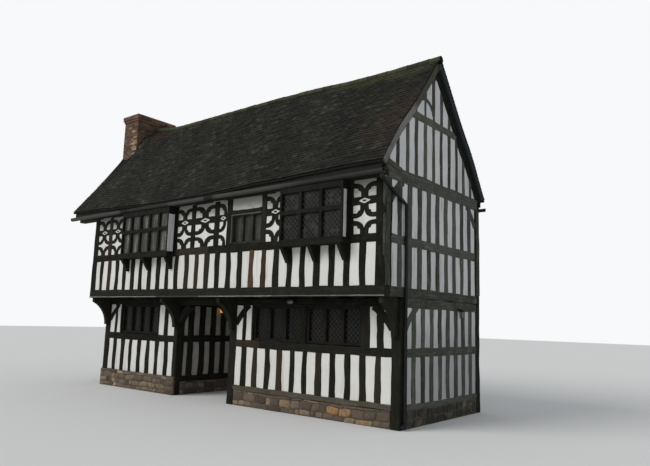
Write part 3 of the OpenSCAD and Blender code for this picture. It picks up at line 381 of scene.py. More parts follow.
def hewn(wall, lines, widths, seed, proud=0.0, depth=frame_depth, wave=1.0, tone=(0.3, 0.25), stained=()):
    """Timbers carried along lines of the wall, as arrays of stations.

    The section has seven points: back, arris, worn arris, crown and the same again. Each edge wanders by
    three sines of the length, each timber bows and tapers a little, and its face stands a few mm proud.
    Stained lists the timbers that have gone brown or red, as pairs of number and tone.
    """
    rng = np.random.default_rng(seed)
    count, stations = lines.shape[:2]
    run = np.concatenate([np.zeros((count, 1)), np.cumsum(np.linalg.norm(np.diff(lines, axis=1), axis=2), 1)], 1)
    tangent = np.gradient(lines, axis=1)
    tangent /= np.linalg.norm(tangent, axis=2, keepdims=True)
    normal = np.stack([-tangent[..., 1], tangent[..., 0]], -1)

    def wander(size):
        lengths = rng.uniform(0.35, 1.9, (3, count, 1))
        starts = rng.uniform(0, 2 * np.pi, (3, count, 1))
        return (size * np.array([0.5, 0.7, 1.0])[:, None, None] * np.sin(2 * np.pi * run / lengths + starts)
                / 2.2).sum(0)

    half = widths[:, None] / 2 * (1 + wave * rng.uniform(-0.09, 0.05, (count, 1)))
    half = half * (1 + wave * rng.normal(0, 0.035, (count, 1)) * (run / run[:, -1:] - 0.5) * 2)
    near, far = half + wander(0.01 * wave), half + wander(0.01 * wave)
    bow = (rng.normal(0, 0.01 * wave, (count, 1)) * np.sin(np.pi * run / run[:, -1:]))
    arris = np.minimum(0.014, widths[:, None] * 0.12) * rng.uniform(0.6, 1.3, (count, 1))
    across = np.stack([-near, -near, -near + arris, 0 * half, far - arris, far, far], -1) + bow[..., None]
    face = proud + rng.uniform(0.0, 0.004, (count, 1)) + wander(0.003)
    crown = rng.uniform(0.001, 0.005, (count, 1))
    deep = -depth + 0 * face
    out = np.stack([deep, face - arris, face, face + crown, face, face - arris, deep], -1)
    u = lines[..., 0, None] + across * normal[..., 0, None]
    v = lines[..., 1, None] + across * normal[..., 1, None]
    points = on_wall(wall, u, v, out).reshape(-1, 3)
    at = np.arange(count * stations * 7).reshape(count, stations, 7)
    ring = np.concatenate([at, at[..., :1]], -1)
    sides = np.stack([ring[:, :-1, :-1], ring[:, 1:, :-1], ring[:, 1:, 1:], ring[:, :-1, 1:]], -1).reshape(-1, 4)
    ends = np.concatenate([at[:, 0], at[:, -1, ::-1]])
    shift = rng.uniform(0, 40, (count, 1, 1, 3)) * np.array([1.0, 0.0, 1.0])
    own = np.stack([across, out, np.broadcast_to(run[..., None], across.shape)], -1) + shift
    tones = np.clip(rng.normal(tone[0], tone[1], count), 0.0, 0.68)
    for number, stain in stained:
        tones[number] = stain
    marks = {"grain": own.reshape(-1, 3), "tone": np.repeat(tones, stations * 7)}
    return (points, facing(wall, [sides, ends]), marks)


def straight(wall, rows, seed, **how):
    """Timbers between two points each, in a station about every hand's length."""
    longest = np.max(np.hypot(rows[:, 2] - rows[:, 0], rows[:, 3] - rows[:, 1]))
    t = np.linspace(0, 1, int(np.clip(longest / 0.11, 5, 90)))[None, :, None]
    lines = rows[:, None, 0:2] * (1 - t) + rows[:, None, 2:4] * t
    return hewn(wall, lines, rows[:, 4], seed, **how)


def knee(wall, corner_u, corner_v, side, seed):
    """A curved brace: an arc through both ends of its reach, centred on the corner's bisector."""
    reach, radius, width = 0.6, 1.5, 0.175
    centre = (reach + math.sqrt(2 * radius * radius - reach * reach)) / 2
    middle = radius + width / 2
    half_turn = math.pi / 4 - math.acos(centre / middle) + 0.02
    angles = np.linspace(3 * math.pi / 4 + half_turn, 3 * math.pi / 4 - half_turn, 12)
    u = corner_u + side * (centre + middle * np.cos(angles))
    v = corner_v - centre + middle * np.sin(angles)
    line = np.stack([u, v], -1)[None]
    return hewn(wall, line, np.array([width]), seed, proud=-0.004, wave=0.6)


front_wall, rear_wall = ((0, jetty, 0), X, FRONT), ((0, depth_y, 0), X, REAR)
corner, sill, low, rail, rail_top, plate, floor = 0.24, plinth_top, 0.5, 1.44, 1.64, 2.49, 2.69
passage_left, passage_right, cheek_left, post_right, far_post = 3.69, 5.83, 3.51, 6.07, 10.76
left_window, right_window = (0.87, 2.72), (6.68, 9.99)
window_middle = (right_window[0] + right_window[1]) / 2
sill_z, rail_z, plate_z = (sill + low) / 2, (rail + rail_top) / 2, (plate + floor) / 2
sill_w, rail_w, plate_w, post_w, narrow_w = 0.14, 0.2, 0.21, 0.24, 0.18
foot, head, post_top = rail_top - 0.03, plate + 0.03, plate + 0.05
left_post, right_post = (0.12, post_w), (10.88, post_w)
dark_oak = oak_finish("black_oak", rgb(20, 20, 16), rgb(35, 34, 28), colour(60, 57, 49))
build("left_front_timbers", [
    straight(front_wall, beams(sill_z, sill_w, (0, passage_left)), 101, proud=0.002),
    straight(front_wall, beams(plate_z, plate_w, (0, passage_left)), 102, proud=0.004),
    straight(front_wall, beams(rail_z, rail_w, (0.1, 3.6)), 103, proud=0.003),
    straight(front_wall, uprights(0, post_top, left_post, (3.6, narrow_w)), 104, depth=post_w, proud=0.008),
    straight(front_wall, studs(corner, cheek_left, 8, low, rail), 105, wave=1.5, tone=(0.4, 0.25)),
    straight(front_wall, uprights(foot, head, (0.55, 0.13), (0.835, 0.07), (2.755, 0.07), (3.115, stud)), 106),
    knee(front_wall, corner, plate, 1, 107), knee(front_wall, cheek_left, plate, -1, 108)],
    dark_oak, "left_front_frame")
build("right_front_timbers", [
    straight(front_wall, beams(plate_z, plate_w, (passage_right, front_end)), 112, proud=0.004),
    straight(front_wall, beams(rail_z, rail_w, (5.9, 6.92), (6.9, 10.9)), 113, proud=0.003, stained=((0, 0.84),)),
    straight(front_wall, uprights(0, post_top, (5.95, post_w), right_post), 114, depth=post_w, proud=0.008),
    straight(front_wall, studs(post_right, far_post, 12, low, rail), 115, wave=1.6, tone=(0.4, 0.25),
             stained=((1, 0.8), (3, 0.86), (6, 0.76), (10, 0.78))),
    straight(front_wall, uprights(foot, head, (6.35, 0.15), (6.645, 0.07), (window_middle, 0.18), (10.105, 0.23),
                                  (10.49, stud)), 116, wave=1.2),
    knee(front_wall, post_right, plate, 1, 117), knee(front_wall, far_post, plate, -1, 118)],
    dark_oak, "right_front_frame")
sill_oak = oak_finish("sill_oak", rgb(66, 62, 52), rgb(92, 86, 73), colour(118, 113, 100))
build("right_front_sill", [straight(front_wall, beams(sill_z, sill_w, (6.05, 10.78)), 111, proud=0.012)],
      sill_oak)
for side, x0, x1, wide, count, seed in (("left", 0, passage_left, narrow_w, 8, 120),
                                        ("right", passage_right, front_end, post_w, 12, 130)):
    build(side + "_rear_timbers", [
        straight(rear_wall, np.concatenate([beams(sill_z, sill_w, (x0, x1)), beams(plate_z, plate_w, (x0, x1))]),
                 seed, proud=0.003),
        straight(rear_wall, beams(rail_z, rail_w, (x0 + 0.1, x1 - 0.1)), seed + 1, proud=0.003),
        straight(rear_wall, uprights(0, post_top, (x0 + post_w / 2, post_w), (x1 - wide / 2, wide)), seed + 2,
                 depth=post_w, proud=0.008),
        straight(rear_wall, studs(x0 + post_w, x1 - wide, count, low, rail), seed + 3),
        straight(rear_wall, studs(x0 + post_w, x1 - wide, count, rail_top, plate), seed + 4)],
        dark_oak, side + "_rear_frame")

# Ground storey panels
# Lath and lime plaster between the studs, limewashed white, a finger's width behind the timber's face.
# Each wall is one sheet of plaster, open at its windows, with the trowel's waves.


def limewash_finish(name, white, grime, soil=0.35, eaves=0.0, foot=0.0):
    """Limewash with faint clouds, runs of dirt and, by their shares, painted shade under the roof and towards the
    foot.
    """
    f = Finish(name)
    place = f.place()
    broad = f.noise(place, 1.1, 3.0)
    mottle = f.noise(place, 7.0, 5.0, 0.6)
    fine = f.noise(place, 45.0, 4.0, 0.6)
    runs = f.noise(f.stretch(place, 9.0, 9.0, 0.9), 1.0, 4.0)
    base = f.mix(broad.step(0.35, 0.68) * 0.4 + mottle.step(0.45, 0.75) * 0.25, white, grime)
    soiled = f.mix(runs.step(0.52, 0.78) * soil, base, colour(132, 128, 118))
    up = f.split(place, 2)
    # Painted shade: the wall darkens towards its top, under the eaves.
    painted_eaves_shade = f.mix((up + mottle * 0.3).step(4.72, 5.18) * eaves, soiled, colour(96, 95, 90))
    # Painted shade: the wall turns darker and grey towards its foot.
    painted_foot_shade = f.mix((up + mottle * 0.4).step(2.9, 1.6) * foot, painted_eaves_shade, colour(146, 147, 148))
    return f.done({"Base Color": painted_foot_shade, "Roughness": 0.93, "Specular IOR Level": 0.2,
                   "Normal": f.bump(mottle * 0.6 + fine * 0.4, 0.35, 0.006)})


def slab_faces(nu, nv):
    """Faces of a closed slab: a grid of points, the same grid turned over behind it, and the rim of both."""
    faces = grid_faces(nu, nv)
    at = np.arange(nu * nv).reshape(nu, nv)
    rim = np.concatenate([at[:, 0], at[-1, 1:], at[-2::-1, -1], at[0, -2::-1]])
    edge = np.stack([rim[:-1], rim[:-1] + nu * nv, rim[1:] + nu * nv, rim[1:]], -1)
    return [faces, faces[:, ::-1] + nu * nv, edge]


def plaster(wall, fields, back=0.142, face=0.012, step=0.12):
    """Closed slabs over four-cornered fields (corners anticlockwise), on a bilinear grid of both faces.

    The face wanders by sines of place, which are the same for all fields of a wall, so they meet.
    """
    parts = []
    for field in fields:
        a, b, c, d = (np.array(p, float) for p in field)
        nu = max(2, int(np.linalg.norm(b - a) / step) + 1)
        nv = max(2, int(np.linalg.norm(d - a) / step) + 1)
        s, t = np.linspace(0, 1, nu)[:, None, None], np.linspace(0, 1, nv)[None, :, None]
        spot = (a * (1 - s) + b * s) * (1 - t) + (d * (1 - s) + c * s) * t
        u, v = spot[..., 0], spot[..., 1]
        waves = 0.0022 * np.sin(5.3 * u + 1.7 * v) + 0.0018 * np.sin(9.1 * v - 3.3 * u + 1.0)
        front = on_wall(wall, u, v, waves - face).reshape(-1, 3)
        behind = on_wall(wall, u, v, 0 * u - back).reshape(-1, 3)
        parts.append((np.concatenate([front, behind]), facing(wall, slab_faces(nu, nv)), {}))
    return parts


def box_field(u0, v0, u1, v1):
    return ((u0, v0), (u1, v0), (u1, v1), (u0, v1))


# Every field ends behind a timber, this far from its edge. The sheets end inside the corner posts.
tuck, sheet_left, sheet_right, passage_sheet_left, passage_sheet_right = 0.03, 0.02, 10.98, 3.6, 5.9


def pierced_wall(u0, u1, v0, middle, v1, *openings):
    """Fields of plaster round openings: one below the middle height, and over it one beside each opening.

    An opening is its two sides and the height over which it has plaster, or None where it has none.
    """
    fields = [box_field(u0, v0 - tuck, u1, middle)]
    for left, far, over in openings:
        fields.append(box_field(u0, middle, left - tuck, v1 + tuck))
        if over:
            fields.append(box_field(left - tuck, over + tuck, far + tuck, v1 + tuck))
        u0 = far + tuck
    return fields + [box_field(u0, middle, u1, v1 + tuck)]


# The front and rear limewash carries painted shade under the eaves.
limewash = limewash_finish("limewash", colour(224, 222, 217), colour(206, 205, 199), 0.3, 0.7)
# Painted shade: a darker grey limewash for the passage walls, which lie in deep shadow.
passage_shade_limewash = limewash_finish("passage_painted_shade_limewash", colour(186, 182, 175), colour(140, 136, 128), 0.6)
for name, wall, fields in (
        ("left_front", front_wall,
         pierced_wall(sheet_left, passage_sheet_left, low, rail_z, plate, (*left_window, None))),
        ("right_front", front_wall,
         pierced_wall(passage_sheet_right, sheet_right, low, rail_z, plate, (*right_window, None))),
        ("left_rear", rear_wall, [box_field(sheet_left, low - tuck, passage_sheet_left, plate + tuck)]),
        ("right_rear", rear_wall, [box_field(passage_sheet_right, low - tuck, sheet_right, plate + tuck)])):
    build(name + "_plaster", plaster(wall, fields), limewash, name + "_infill")

# Cart passage
# Close-studded side walls, a plank door in each near the rear, and lintels with arched braces.
# The limewash here is painted a darker grey, a painted shade for the deep shadow in the passage.
cheeks = (("left", ((passage_left, 0, 0), Y, X)), ("right", ((5.89, 0, 0), Y, LEFT)))
door_near, door_far, door_top = 3.02, 3.88, 2.26


def cheek_frame(wall, seed):
    """The side wall's timbers, its studs cut off at the door's jambs and head."""
    near, far = 0.81, 4.33
    all_studs = np.concatenate([studs(near, far, 9, low, rail), studs(near, far, 9, rail_top, plate)])
    by_door = (all_studs[:, 0] > door_near - 0.07) & (all_studs[:, 0] < door_far + 0.07)
    over = all_studs[by_door & (all_studs[:, 1] > rail)]
    over[:, 1] = door_top + 0.05
    beside = (near, door_near), (door_far, far)
    groups = ((beams(sill_z, sill_w, *beside), 0.0), (beams(plate_z, plate_w, (near, far)), 0.004),
              (beams(rail_z, rail_w, *beside), 0.002),
              (uprights(sill, plate, (door_near - 0.035, 0.09), (door_far + 0.035, 0.09)), 0.006),
              (beams(door_top + 0.035, 0.09, (door_near - 0.06, door_far + 0.06)), 0.007),
              (all_studs[~by_door], 0.0), (over, 0.0))
    return [straight(wall, rows, seed + k, proud=proud, depth=0.18) for k, (rows, proud) in enumerate(groups)]


for seed, (side, wall) in zip((140, 150), cheeks):
    build(side + "_passage_timbers", cheek_frame(wall, seed), dark_oak, side + "_passage_frame")
for side, wall in cheeks:
    build(side + "_passage_plaster", plaster(wall, [
        box_field(0.8, low - tuck, door_near - tuck, plate + tuck),
        box_field(door_far + tuck, low - tuck, 4.34, plate + tuck),
        box_field(door_near - tuck, door_top + tuck, door_far + tuck, plate + tuck)], face=0.05),
        passage_shade_limewash, side + "_passage_infill")
lintels = []
for wall, seed in ((front_wall, 160), (rear_wall, 170)):
    lintels += [straight(wall, beams(plate_z, 0.2, (passage_left - 0.02, passage_right + 0.02)), seed, proud=0.003),
                knee(wall, passage_left, plate, 1, seed + 1), knee(wall, passage_right, plate, -1, seed + 2)]
build("passage_lintel_timbers", lintels, dark_oak, "passage_lintels")


def plank_door(wall, seed):
    """Five upright planks with worn joints on three ledges, in the frame's opening."""
    rng = np.random.default_rng(seed)
    widths = rng.uniform(0.9, 1.1, 5)
    shares = np.concatenate([[0], np.cumsum(widths)]) / widths.sum()
    edges = door_near + 0.005 + shares * (door_far - door_near - 0.01)
    planks = uprights(sill + 0.01, door_top - 0.01, *zip((edges[:-1] + edges[1:]) / 2, np.diff(edges)))
    ledges = np.concatenate([beams(z, 0.14, (door_near + 0.05, door_far - 0.05)) for z in (0.7, 1.35, 2.0)])
    return [straight(wall, planks, seed, proud=-0.022, depth=0.055, wave=0.12),
            straight(wall, ledges, seed + 1, proud=-0.056, depth=0.09, wave=0.2)]


plank_oak = oak_finish("door_oak", rgb(40, 33, 27), rgb(70, 58, 47), colour(92, 84, 72))
for seed, (side, wall) in zip((180, 190), cheeks):
    build(side + "_plank_door", plank_door(wall, seed), plank_oak, side + "_door")

# Jetty
# Joists carry the upper storey over the lower one. A great beam runs along their ends, with a pale
# weathering strip nailed at its foot, and curved brackets carry it from the four posts.


def inner_finish(name, dark, light, axis, board=0.0):
    """Sawn oak with grain along one axis, and with joints between boards where they have a width."""
    f = Finish(name)
    place = f.place()
    scale = [30.0, 30.0, 30.0]
    scale[axis] = 1.2
    streak = f.noise(f.stretch(place, *scale), 1.0, 5.0, 0.6)
    broad = f.noise(place, 1.3, 3.0)
    wood = f.mix(streak.step(0.3, 0.7), dark, light)
    worn = f.mix(broad.step(0.4, 0.7) * 0.5, wood, colour(52, 46, 40))
    height = streak
    if board:
        across = f.split(place, 1 - axis)
        saw = f.node("ShaderNodeMath", {"operation": "PINGPONG"}, {0: across, 1: board / 2})
        gap = saw.step(0.006, 0.002)
        worn = f.mix(gap, worn, colour(12, 10, 9))
        height = streak * 0.4 - gap
    return f.done({"Base Color": worn, "Roughness": 0.8, "Normal": f.bump(height, 0.5, 0.005)})


upper_wall = ((0, 0, 0), X, FRONT)
beam_z, beam_w = 2.8, 0.222
beam_oak = oak_finish("jetty_oak", rgb(24, 24, 20), rgb(38, 37, 31), colour(66, 63, 54))
build("jetty_beam_timber", [straight(upper_wall, beams(beam_z, beam_w, (0, front_end)), 201, depth=0.2, proud=0.006,
                                     tone=(0.5, 0.1))], beam_oak, "jetty_beam")
pale_strip = oak_finish("weathering_strip", rgb(44, 44, 40), rgb(168, 167, 160), colour(120, 119, 112))
strip_spans = (0, 3.45), (3.45, 5.3), (5.3, 7.9), (7.9, 9.1), (9.1, front_end)
build("jetty_strip", [straight(upper_wall, beams(2.704, 0.022, *strip_spans), 202, depth=-0.002, proud=0.022,
                               wave=0.3, stained=((0, 0.6), (1, 0.12), (2, 0.52), (3, 0.28), (4, 0.42)))],
      pale_strip)
upright_oak = oak_finish("upright_oak", rgb(26, 26, 22), rgb(42, 41, 35), colour(64, 62, 55), 2)
dress("jetty_brackets", upright_oak, 0.012)
dress("upper_floor", inner_finish("floorboards", colour(60, 50, 40), colour(92, 76, 60), 0, 0.22))
dress("floor_joists", inner_finish("joist_oak", colour(40, 34, 28), colour(66, 54, 44), 1), 0.008)

# Upper front
# A band of close studs stands on the jetty beam. Over it run the star panels: curved ribs round each
# crossing of post and rail leave a white star, and the rail between holds a lozenge with a dark eye.
low2, rail2, star, star_rail, star_over, wall_top = 2.91, 3.80, 4.00, 4.61, 4.795, 5.15
rail2_z, star_rail_z = (rail2 + star) / 2, (star_rail + star_over) / 2
post, rib, window_head, head_z, head_w = 0.15, 0.122, 4.76, 4.815, 0.11
half_bay, broad_bay, window_bay, left_bay, right_bay, oriel_post = 0.33, 0.79, 1.07, 2.10, 1.69, 0.39
star_bay = (front_end - 2 * corner - (half_bay + broad_bay + window_bay + left_bay + right_bay) - 8 * post
            - oriel_post) / 5
kinds = ["star", "star", "left_oriel", "star", "star", "half", "window", "star", "right_oriel", "star"]
widths = [star_bay, star_bay, left_bay, star_bay, broad_bay, half_bay, window_bay, star_bay, right_bay, star_bay]
gaps = [post, oriel_post, post, post, post, post, post, post, post, corner]
starts = corner + np.concatenate([[0], np.cumsum(np.array(widths) + np.array(gaps))[:-1]])
bays = {kind: (start, start + width) for kind, start, width in zip(kinds, starts, widths)}


def closed_grid(at):
    """Faces of a numbered grid whose last row joins its first."""
    onward = np.roll(at, -1, axis=0)
    return np.stack([at[:, :-1], at[:, 1:], onward[:, 1:], onward[:, :-1]], -1).reshape(-1, 4)


def quarter(centre_u, centre_v, reach, side, way, seed, broad=1.0):
    """A rib round a crossing: a quarter ring, whose inner edge has a cusp at its middle.

    Fifteen stations round the quarter, with a section of four points. The cusp is a bell curve of the angle,
    the ring swells a little at its middle, and it is an ellipse where it is broad.
    """
    rng = np.random.default_rng(seed)
    angle = np.linspace(-0.05, math.pi / 2 + 0.05, 15)
    cusp = 0.034 * np.exp(-((angle - math.pi / 4) / 0.11) ** 2)
    swell = reach * 0.09 * np.sin(2 * angle) ** 2
    far = reach * rng.uniform(0.985, 1.005) + swell + 0.004 * np.sin(3 * angle + rng.uniform(0, 6))
    near = reach - rib - cusp + swell + 0.004 * np.sin(4 * angle + rng.uniform(0, 6))
    radius = np.stack([near, near + 0.01, far - 0.01, far], 1)
    out = np.array([-0.02, -0.003, -0.003, -0.02]) + rng.uniform(0, 0.002)
    u = centre_u + side * broad * radius * np.cos(angle)[:, None]
    v = centre_v + way * radius * np.sin(angle)[:, None]
    points = on_wall(upper_wall, u, v, np.broadcast_to(out, (15, 4))).reshape(-1, 3)
    own = np.stack([radius, 0 * radius, np.broadcast_to(angle[:, None] * reach, (15, 4))], -1).reshape(-1, 3)
    faces = grid_faces(15, 4)
    return [(points, [faces if side * way < 0 else faces[:, ::-1]],
             {"grain": own + rng.uniform(0, 9), "tone": np.full(60, rng.uniform(0.1, 0.6))})]


def lozenge_rail(u0, u1, seed):
    """The rail through a star panel, open in a lozenge, and the eye that lies in the opening.

    Twelve pairs of points go round the opening and round the outline, joined by a section of four. The eye
    is a grid of five by five points, drawn in to a dash.
    """
    rng = np.random.default_rng(seed)
    m, w = (u0 + u1) / 2, u1 - u0
    a, c, e, g = w / 2 + 0.02, (star_over - star_rail) / 2, 0.06 + w * 0.14, 0.06
    share = np.array([1, 0.8, 0.5, 0, -0.5, -0.8, -1, -0.8, -0.5, 0, 0.5, 0.8])
    sign = np.array([0, 1, 1, 1, 1, 1, 0, -1, -1, -1, -1, -1])
    outer = np.stack([a * np.clip(1.25 * share, -1, 1), c * sign], -1) + rng.normal(0, 0.0025, (12, 2))
    inner = np.stack([e * share, g * (1 - np.abs(share)) * sign], -1)
    inner = inner * rng.uniform(0.94, 1.05) + rng.normal(0, 0.002, (12, 2))
    section = np.stack([inner, inner + (outer - inner) * 0.12, outer - (outer - inner) * 0.1, outer], 1)
    out = np.array([-0.02, 0.001, 0.001, -0.02])
    points = on_wall(upper_wall, m + section[..., 0], star_rail_z + section[..., 1], np.broadcast_to(out, (12, 4)))
    own = np.stack([section[..., 1], 0 * section[..., 1], section[..., 0]], -1) + rng.uniform(0, 9)
    marks = {"grain": own.reshape(-1, 3), "tone": np.full(48, rng.uniform(0.1, 0.5))}
    fifths = np.array([-1, -0.8, 0, 0.8, 1])
    across, rise = fifths * e * 0.4, fifths * 0.02
    spread = np.array([0.55, 0.85, 1.0, 0.85, 0.55])
    eye_u, eye_v = m + across[None, :] * spread[:, None], star_rail_z + rise[:, None] * spread[None, :]
    height = np.minimum(np.array([-0.02, -0.001, 0.002, -0.001, -0.02])[:, None],
                        np.array([-0.02, 0.0, 0.002, 0.0, -0.02])[None, :])
    eye_own = np.stack([eye_v, 0 * eye_v, eye_u], -1).reshape(-1, 3)
    return [(points.reshape(-1, 3), [closed_grid(np.arange(48).reshape(12, 4))], marks),
            (on_wall(upper_wall, eye_u, eye_v, height).reshape(-1, 3), [grid_faces(5, 5)[:, ::-1]],
             {"grain": eye_own, "tone": np.full(25, 0.2)})]


build("upper_front_timbers", [
    straight(upper_wall, beams(rail2_z, rail_w, (0.1, 4.22), (4.2, 5.55), (5.53, 10.9)), 301, proud=0.002,
             stained=((1, 0.8),)),
    straight(upper_wall, uprights(low2 - 0.01, wall_top, left_post, right_post), 302, proud=0.004, depth=post_w),
    straight(upper_wall, studs(corner, far_post, 26, low2, rail2), 303, wave=1.35,
             stained=((1, 0.82), (10, 0.77), (11, 0.88), (12, 0.76), (16, 1.0), (17, 0.87)))],
    dark_oak, "upper_front_frame")
star_timbers, posts, reach = [], [], 0.29
for number, (kind, start, width, space) in enumerate(zip(kinds, starts, widths, gaps)):
    end, seed = start + width, 400 + 20 * number
    if number < len(kinds) - 1:
        posts.append((end + space / 2, space + (0.04 if space == post else 0.0)))
    if kind == "window":
        star_timbers.append(straight(upper_wall, beams(head_z, head_w, (start, end)), seed, proud=0.001))
    if kind not in ("star", "half"):
        continue
    broad = min((width / 2 + 0.015) / reach, 1.42) if kind == "star" else 1.0
    for side, edge in ((1, start), (-1, end))[:2 if kind == "star" else 1]:
        star_timbers += (quarter(edge, star, reach, side, 1, seed + 2 + side, broad)
                         + quarter(edge, star_rail, reach, side, -1, seed + 6 + side, broad)
                         + quarter(edge, star_over, reach + 0.015, side, 1, seed + 10 + side, broad))
    star_timbers += lozenge_rail(start, end, seed + 14)
star_timbers.append(straight(upper_wall, uprights(star - 0.02, wall_top, *posts), 399, proud=0.001,
                             stained=((0, 0.78), (6, 0.71))))
build("star_panel_timbers", star_timbers, dark_oak, "star_frames")
build("upper_front_plaster", plaster(upper_wall, pierced_wall(
    sheet_left, sheet_right, low2, rail2_z, wall_top, (*bays["left_oriel"], None),
    (*bays["window"], window_head), (*bays["right_oriel"], None))), limewash, "upper_front_infill")

# Upper rear wall
# Plain close studding with two windows of three lights, as the hidden side of such a house has.
rear_light_w = 1.07
rear_windows = [(x, x + rear_light_w) for x in (front_end * share - rear_light_w / 2 for share in (0.25, 0.7))]
tall = studs(corner, far_post, 26, star, wall_top)
for left, far in rear_windows:
    tall[(left - 0.07 < tall[:, 0]) & (tall[:, 0] < far + 0.07), 1] = window_head
jambs = [(x, 0.07) for left, far in rear_windows for x in (left - 0.035, far + 0.035)]
build("upper_rear_timbers", [
    straight(rear_wall, beams(beam_z, beam_w, (0, front_end)), 501, proud=0.006),
    straight(rear_wall, beams(rail2_z, rail_w, (0.1, 10.9)), 502, proud=0.002),
    straight(rear_wall, uprights(low2, wall_top, left_post, right_post), 503, proud=0.004, depth=post_w),
    straight(rear_wall, studs(corner, far_post, 26, low2, rail2), 504), straight(rear_wall, tall, 505),
    straight(rear_wall, uprights(star, wall_top, *jambs), 506, wave=0.3),
    straight(rear_wall, beams(head_z, head_w, *rear_windows), 507, proud=0.003)],
    dark_oak, "upper_rear_frame")
build("upper_rear_plaster", plaster(rear_wall, pierced_wall(
    sheet_left, sheet_right, low2, rail2_z, wall_top, *((*window, window_head) for window in rear_windows))),
    limewash, "upper_rear_infill")

# Gables
# Close studs in two storeys, a tie beam, and a triangle of studs under a collar and the rafters, with a
# little arched panel on the collar. The oak has gone silver and green here, and the breast hides the left one.
right_gable, left_gable = ((front_end, 0, 0), Y, X), ((0, 0, 0), Y, LEFT)
ridge_y, tie_top, under_tiles = 2.25, 5.44, 0.2628
roof_left, roof_right, eaves_y, apex = -1.1, 11.04, -0.23, 8.5568
stack_left, stack_right, stack_front, stack_rear = -1.2, -0.4, 1.5, 3.0
roof_pitch = math.radians(52.5)
slope, pitch_cos, pitch_sin = math.tan(roof_pitch), math.cos(roof_pitch), math.sin(roof_pitch)


def roof_height(x, y):
    """Height of the tiles at a place of either slope: a plane, plus what age has lifted it by.

    The lifts of the eaves and of the ridge are lines through a few places along the house. Between them it
    is their mean by the share of the slope, with small waves, and the slope swells towards the right
    verge and against the stack's right side, as bell curves of that share.
    """
    off = np.abs(y - ridge_y)
    up = np.clip(1 - off / (ridge_y - eaves_y), 0, 1)
    at_eaves = np.interp(x, (-1.1, 0.4, 3.2, 5.4, 7.0, 9.0, 11.0), (0.165, 0.126, 0.03, 0.03, 0.09, 0.14, 0.17))
    at_ridge = np.interp(x, (-0.9, -0.4, 0.0, 0.5, 1.0, 5.6, 7.2, 8.4, 9.8, 11.0),
                         (0.12, 0.33, 0.27, 0.2, 0.15, 0.14, 0.105, 0.035, 0.02, 0.04))
    swell = 0.09 * np.clip((x - 8.5) / 2.5, 0, 1) * np.exp(-((up - 0.3) / 0.18) ** 2)
    from_stack = np.where(x < stack_right, (stack_right - x) / 0.06, (x - stack_right) / 0.42)
    swell = swell + 0.27 * np.exp(-from_stack ** 2 - ((up - 0.79) / 0.1) ** 2)
    waves = 0.005 * np.sin(2.6 * x + 1.3) + 0.004 * np.sin(4.4 * x - 5 * off)
    return apex - off * slope + at_eaves * (1 - up) + at_ridge * up + swell + waves * (1 - up ** 4)


def gable_frame(wall, seed):
    """All timbers of a gable; those of the triangle end at the rafters, over the heights of the roof."""
    gable_stud, pitch = 0.145, (depth_y - 0.145) / 11
    thick, collar, collar_top, arch_r = 0.075 / pitch_cos, 6.75, 6.93, 0.42
    roof_x = wall[0][0]
    middle = np.arange(1, 11) * pitch + gable_stud / 2
    top = roof_height(roof_x, middle) - under_tiles - thick * 0.6
    short = np.array([(u, tie_top - 0.01, u, min(v, collar + 0.01), gable_stud) for u, v in zip(middle, top)])
    arch_y = ridge_y - pitch / 2 - gable_stud / 2 - 0.33
    over = np.array([(u, collar_top - 0.01, u, v, gable_stud) for u, v in zip(middle, top) if v > collar_top + 0.08])
    lift = np.sqrt(np.clip(arch_r ** 2 - (over[:, 0] - arch_y) ** 2, 0, None))
    over[:, 1] = np.where(lift > 0, collar_top + lift, over[:, 1])
    over = over[over[:, 3] - over[:, 1] > 0.06]
    angle = np.linspace(0, math.pi, 17)
    arch = np.stack([arch_y + arch_r * np.cos(angle), collar_top + arch_r * np.sin(angle)], -1)
    half = (apex - under_tiles - collar) / slope + 0.01
    foot = (apex - under_tiles - thick / 2 - tie_top) / slope + 0.06
    rafter_y = ridge_y - foot * np.array([-1, 1])[:, None] * np.linspace(0, 1, 22)[None]
    rafter_lines = np.stack([rafter_y, roof_height(roof_x, rafter_y) - under_tiles - thick / 2], -1)
    y0, y1 = jetty + corner, depth_y - corner
    ends = y0 - 0.02, y1 + 0.02
    storeys = ((beams(plate_z, plate_w, ends), 0.003), (beams(rail_z, rail_w, ends), 0.002),
               (studs(y0, y1, 9, low, rail), 0.0), (studs(y0, y1, 9, rail_top, plate), 0.0),
               (beams(beam_z, beam_w, (0.2, 4.33)), 0.003), (beams(rail2_z, rail_w, (0.22, ends[1])), 0.002),
               (studs(corner, y1, 10, low2, rail2), 0.0), (studs(corner, y1, 10, star, wall_top), 0.0),
               (beams((wall_top + tie_top) / 2, tie_top - wall_top, (0.1, 4.4)), 0.006))
    timbers = [straight(wall, beams(sill_z, sill_w, ends), seed, tone=(0.5, 0.1))]
    timbers += [straight(wall, rows, seed + 1 + k, proud=proud) for k, (rows, proud) in enumerate(storeys)]
    return timbers + [
        straight(wall, np.array([(0.02, 5.45, 0.62, 5.36, 0.26)]), seed + 19, proud=0.012, depth=0.1),
        straight(wall, uprights(low2, wall_top, (0.1, 0.195), (4.4, 0.195)), seed + 20, proud=0.018, depth=0.05),
        knee(wall, y0, plate, 1, seed + 10), knee(wall, corner, wall_top, 1, seed + 11),
        knee(wall, y1, wall_top, -1, seed + 12),
        hewn(wall, rafter_lines, np.array([0.075, 0.075]), seed + 13, proud=0.002, wave=0.2),
        straight(wall, short, seed + 14), straight(wall, over, seed + 15),
        straight(wall, beams((collar + collar_top) / 2, 0.185, (ridge_y - half, ridge_y + half)), seed + 16,
                 proud=0.002),
        hewn(wall, arch[None], np.array([0.1]), seed + 17, proud=0.001, wave=0.3),
        straight(wall, uprights(collar, collar_top + 0.38, (ridge_y - 1.5 * pitch, 0.08)), seed + 18, proud=-0.001,
                 wave=0.4)]


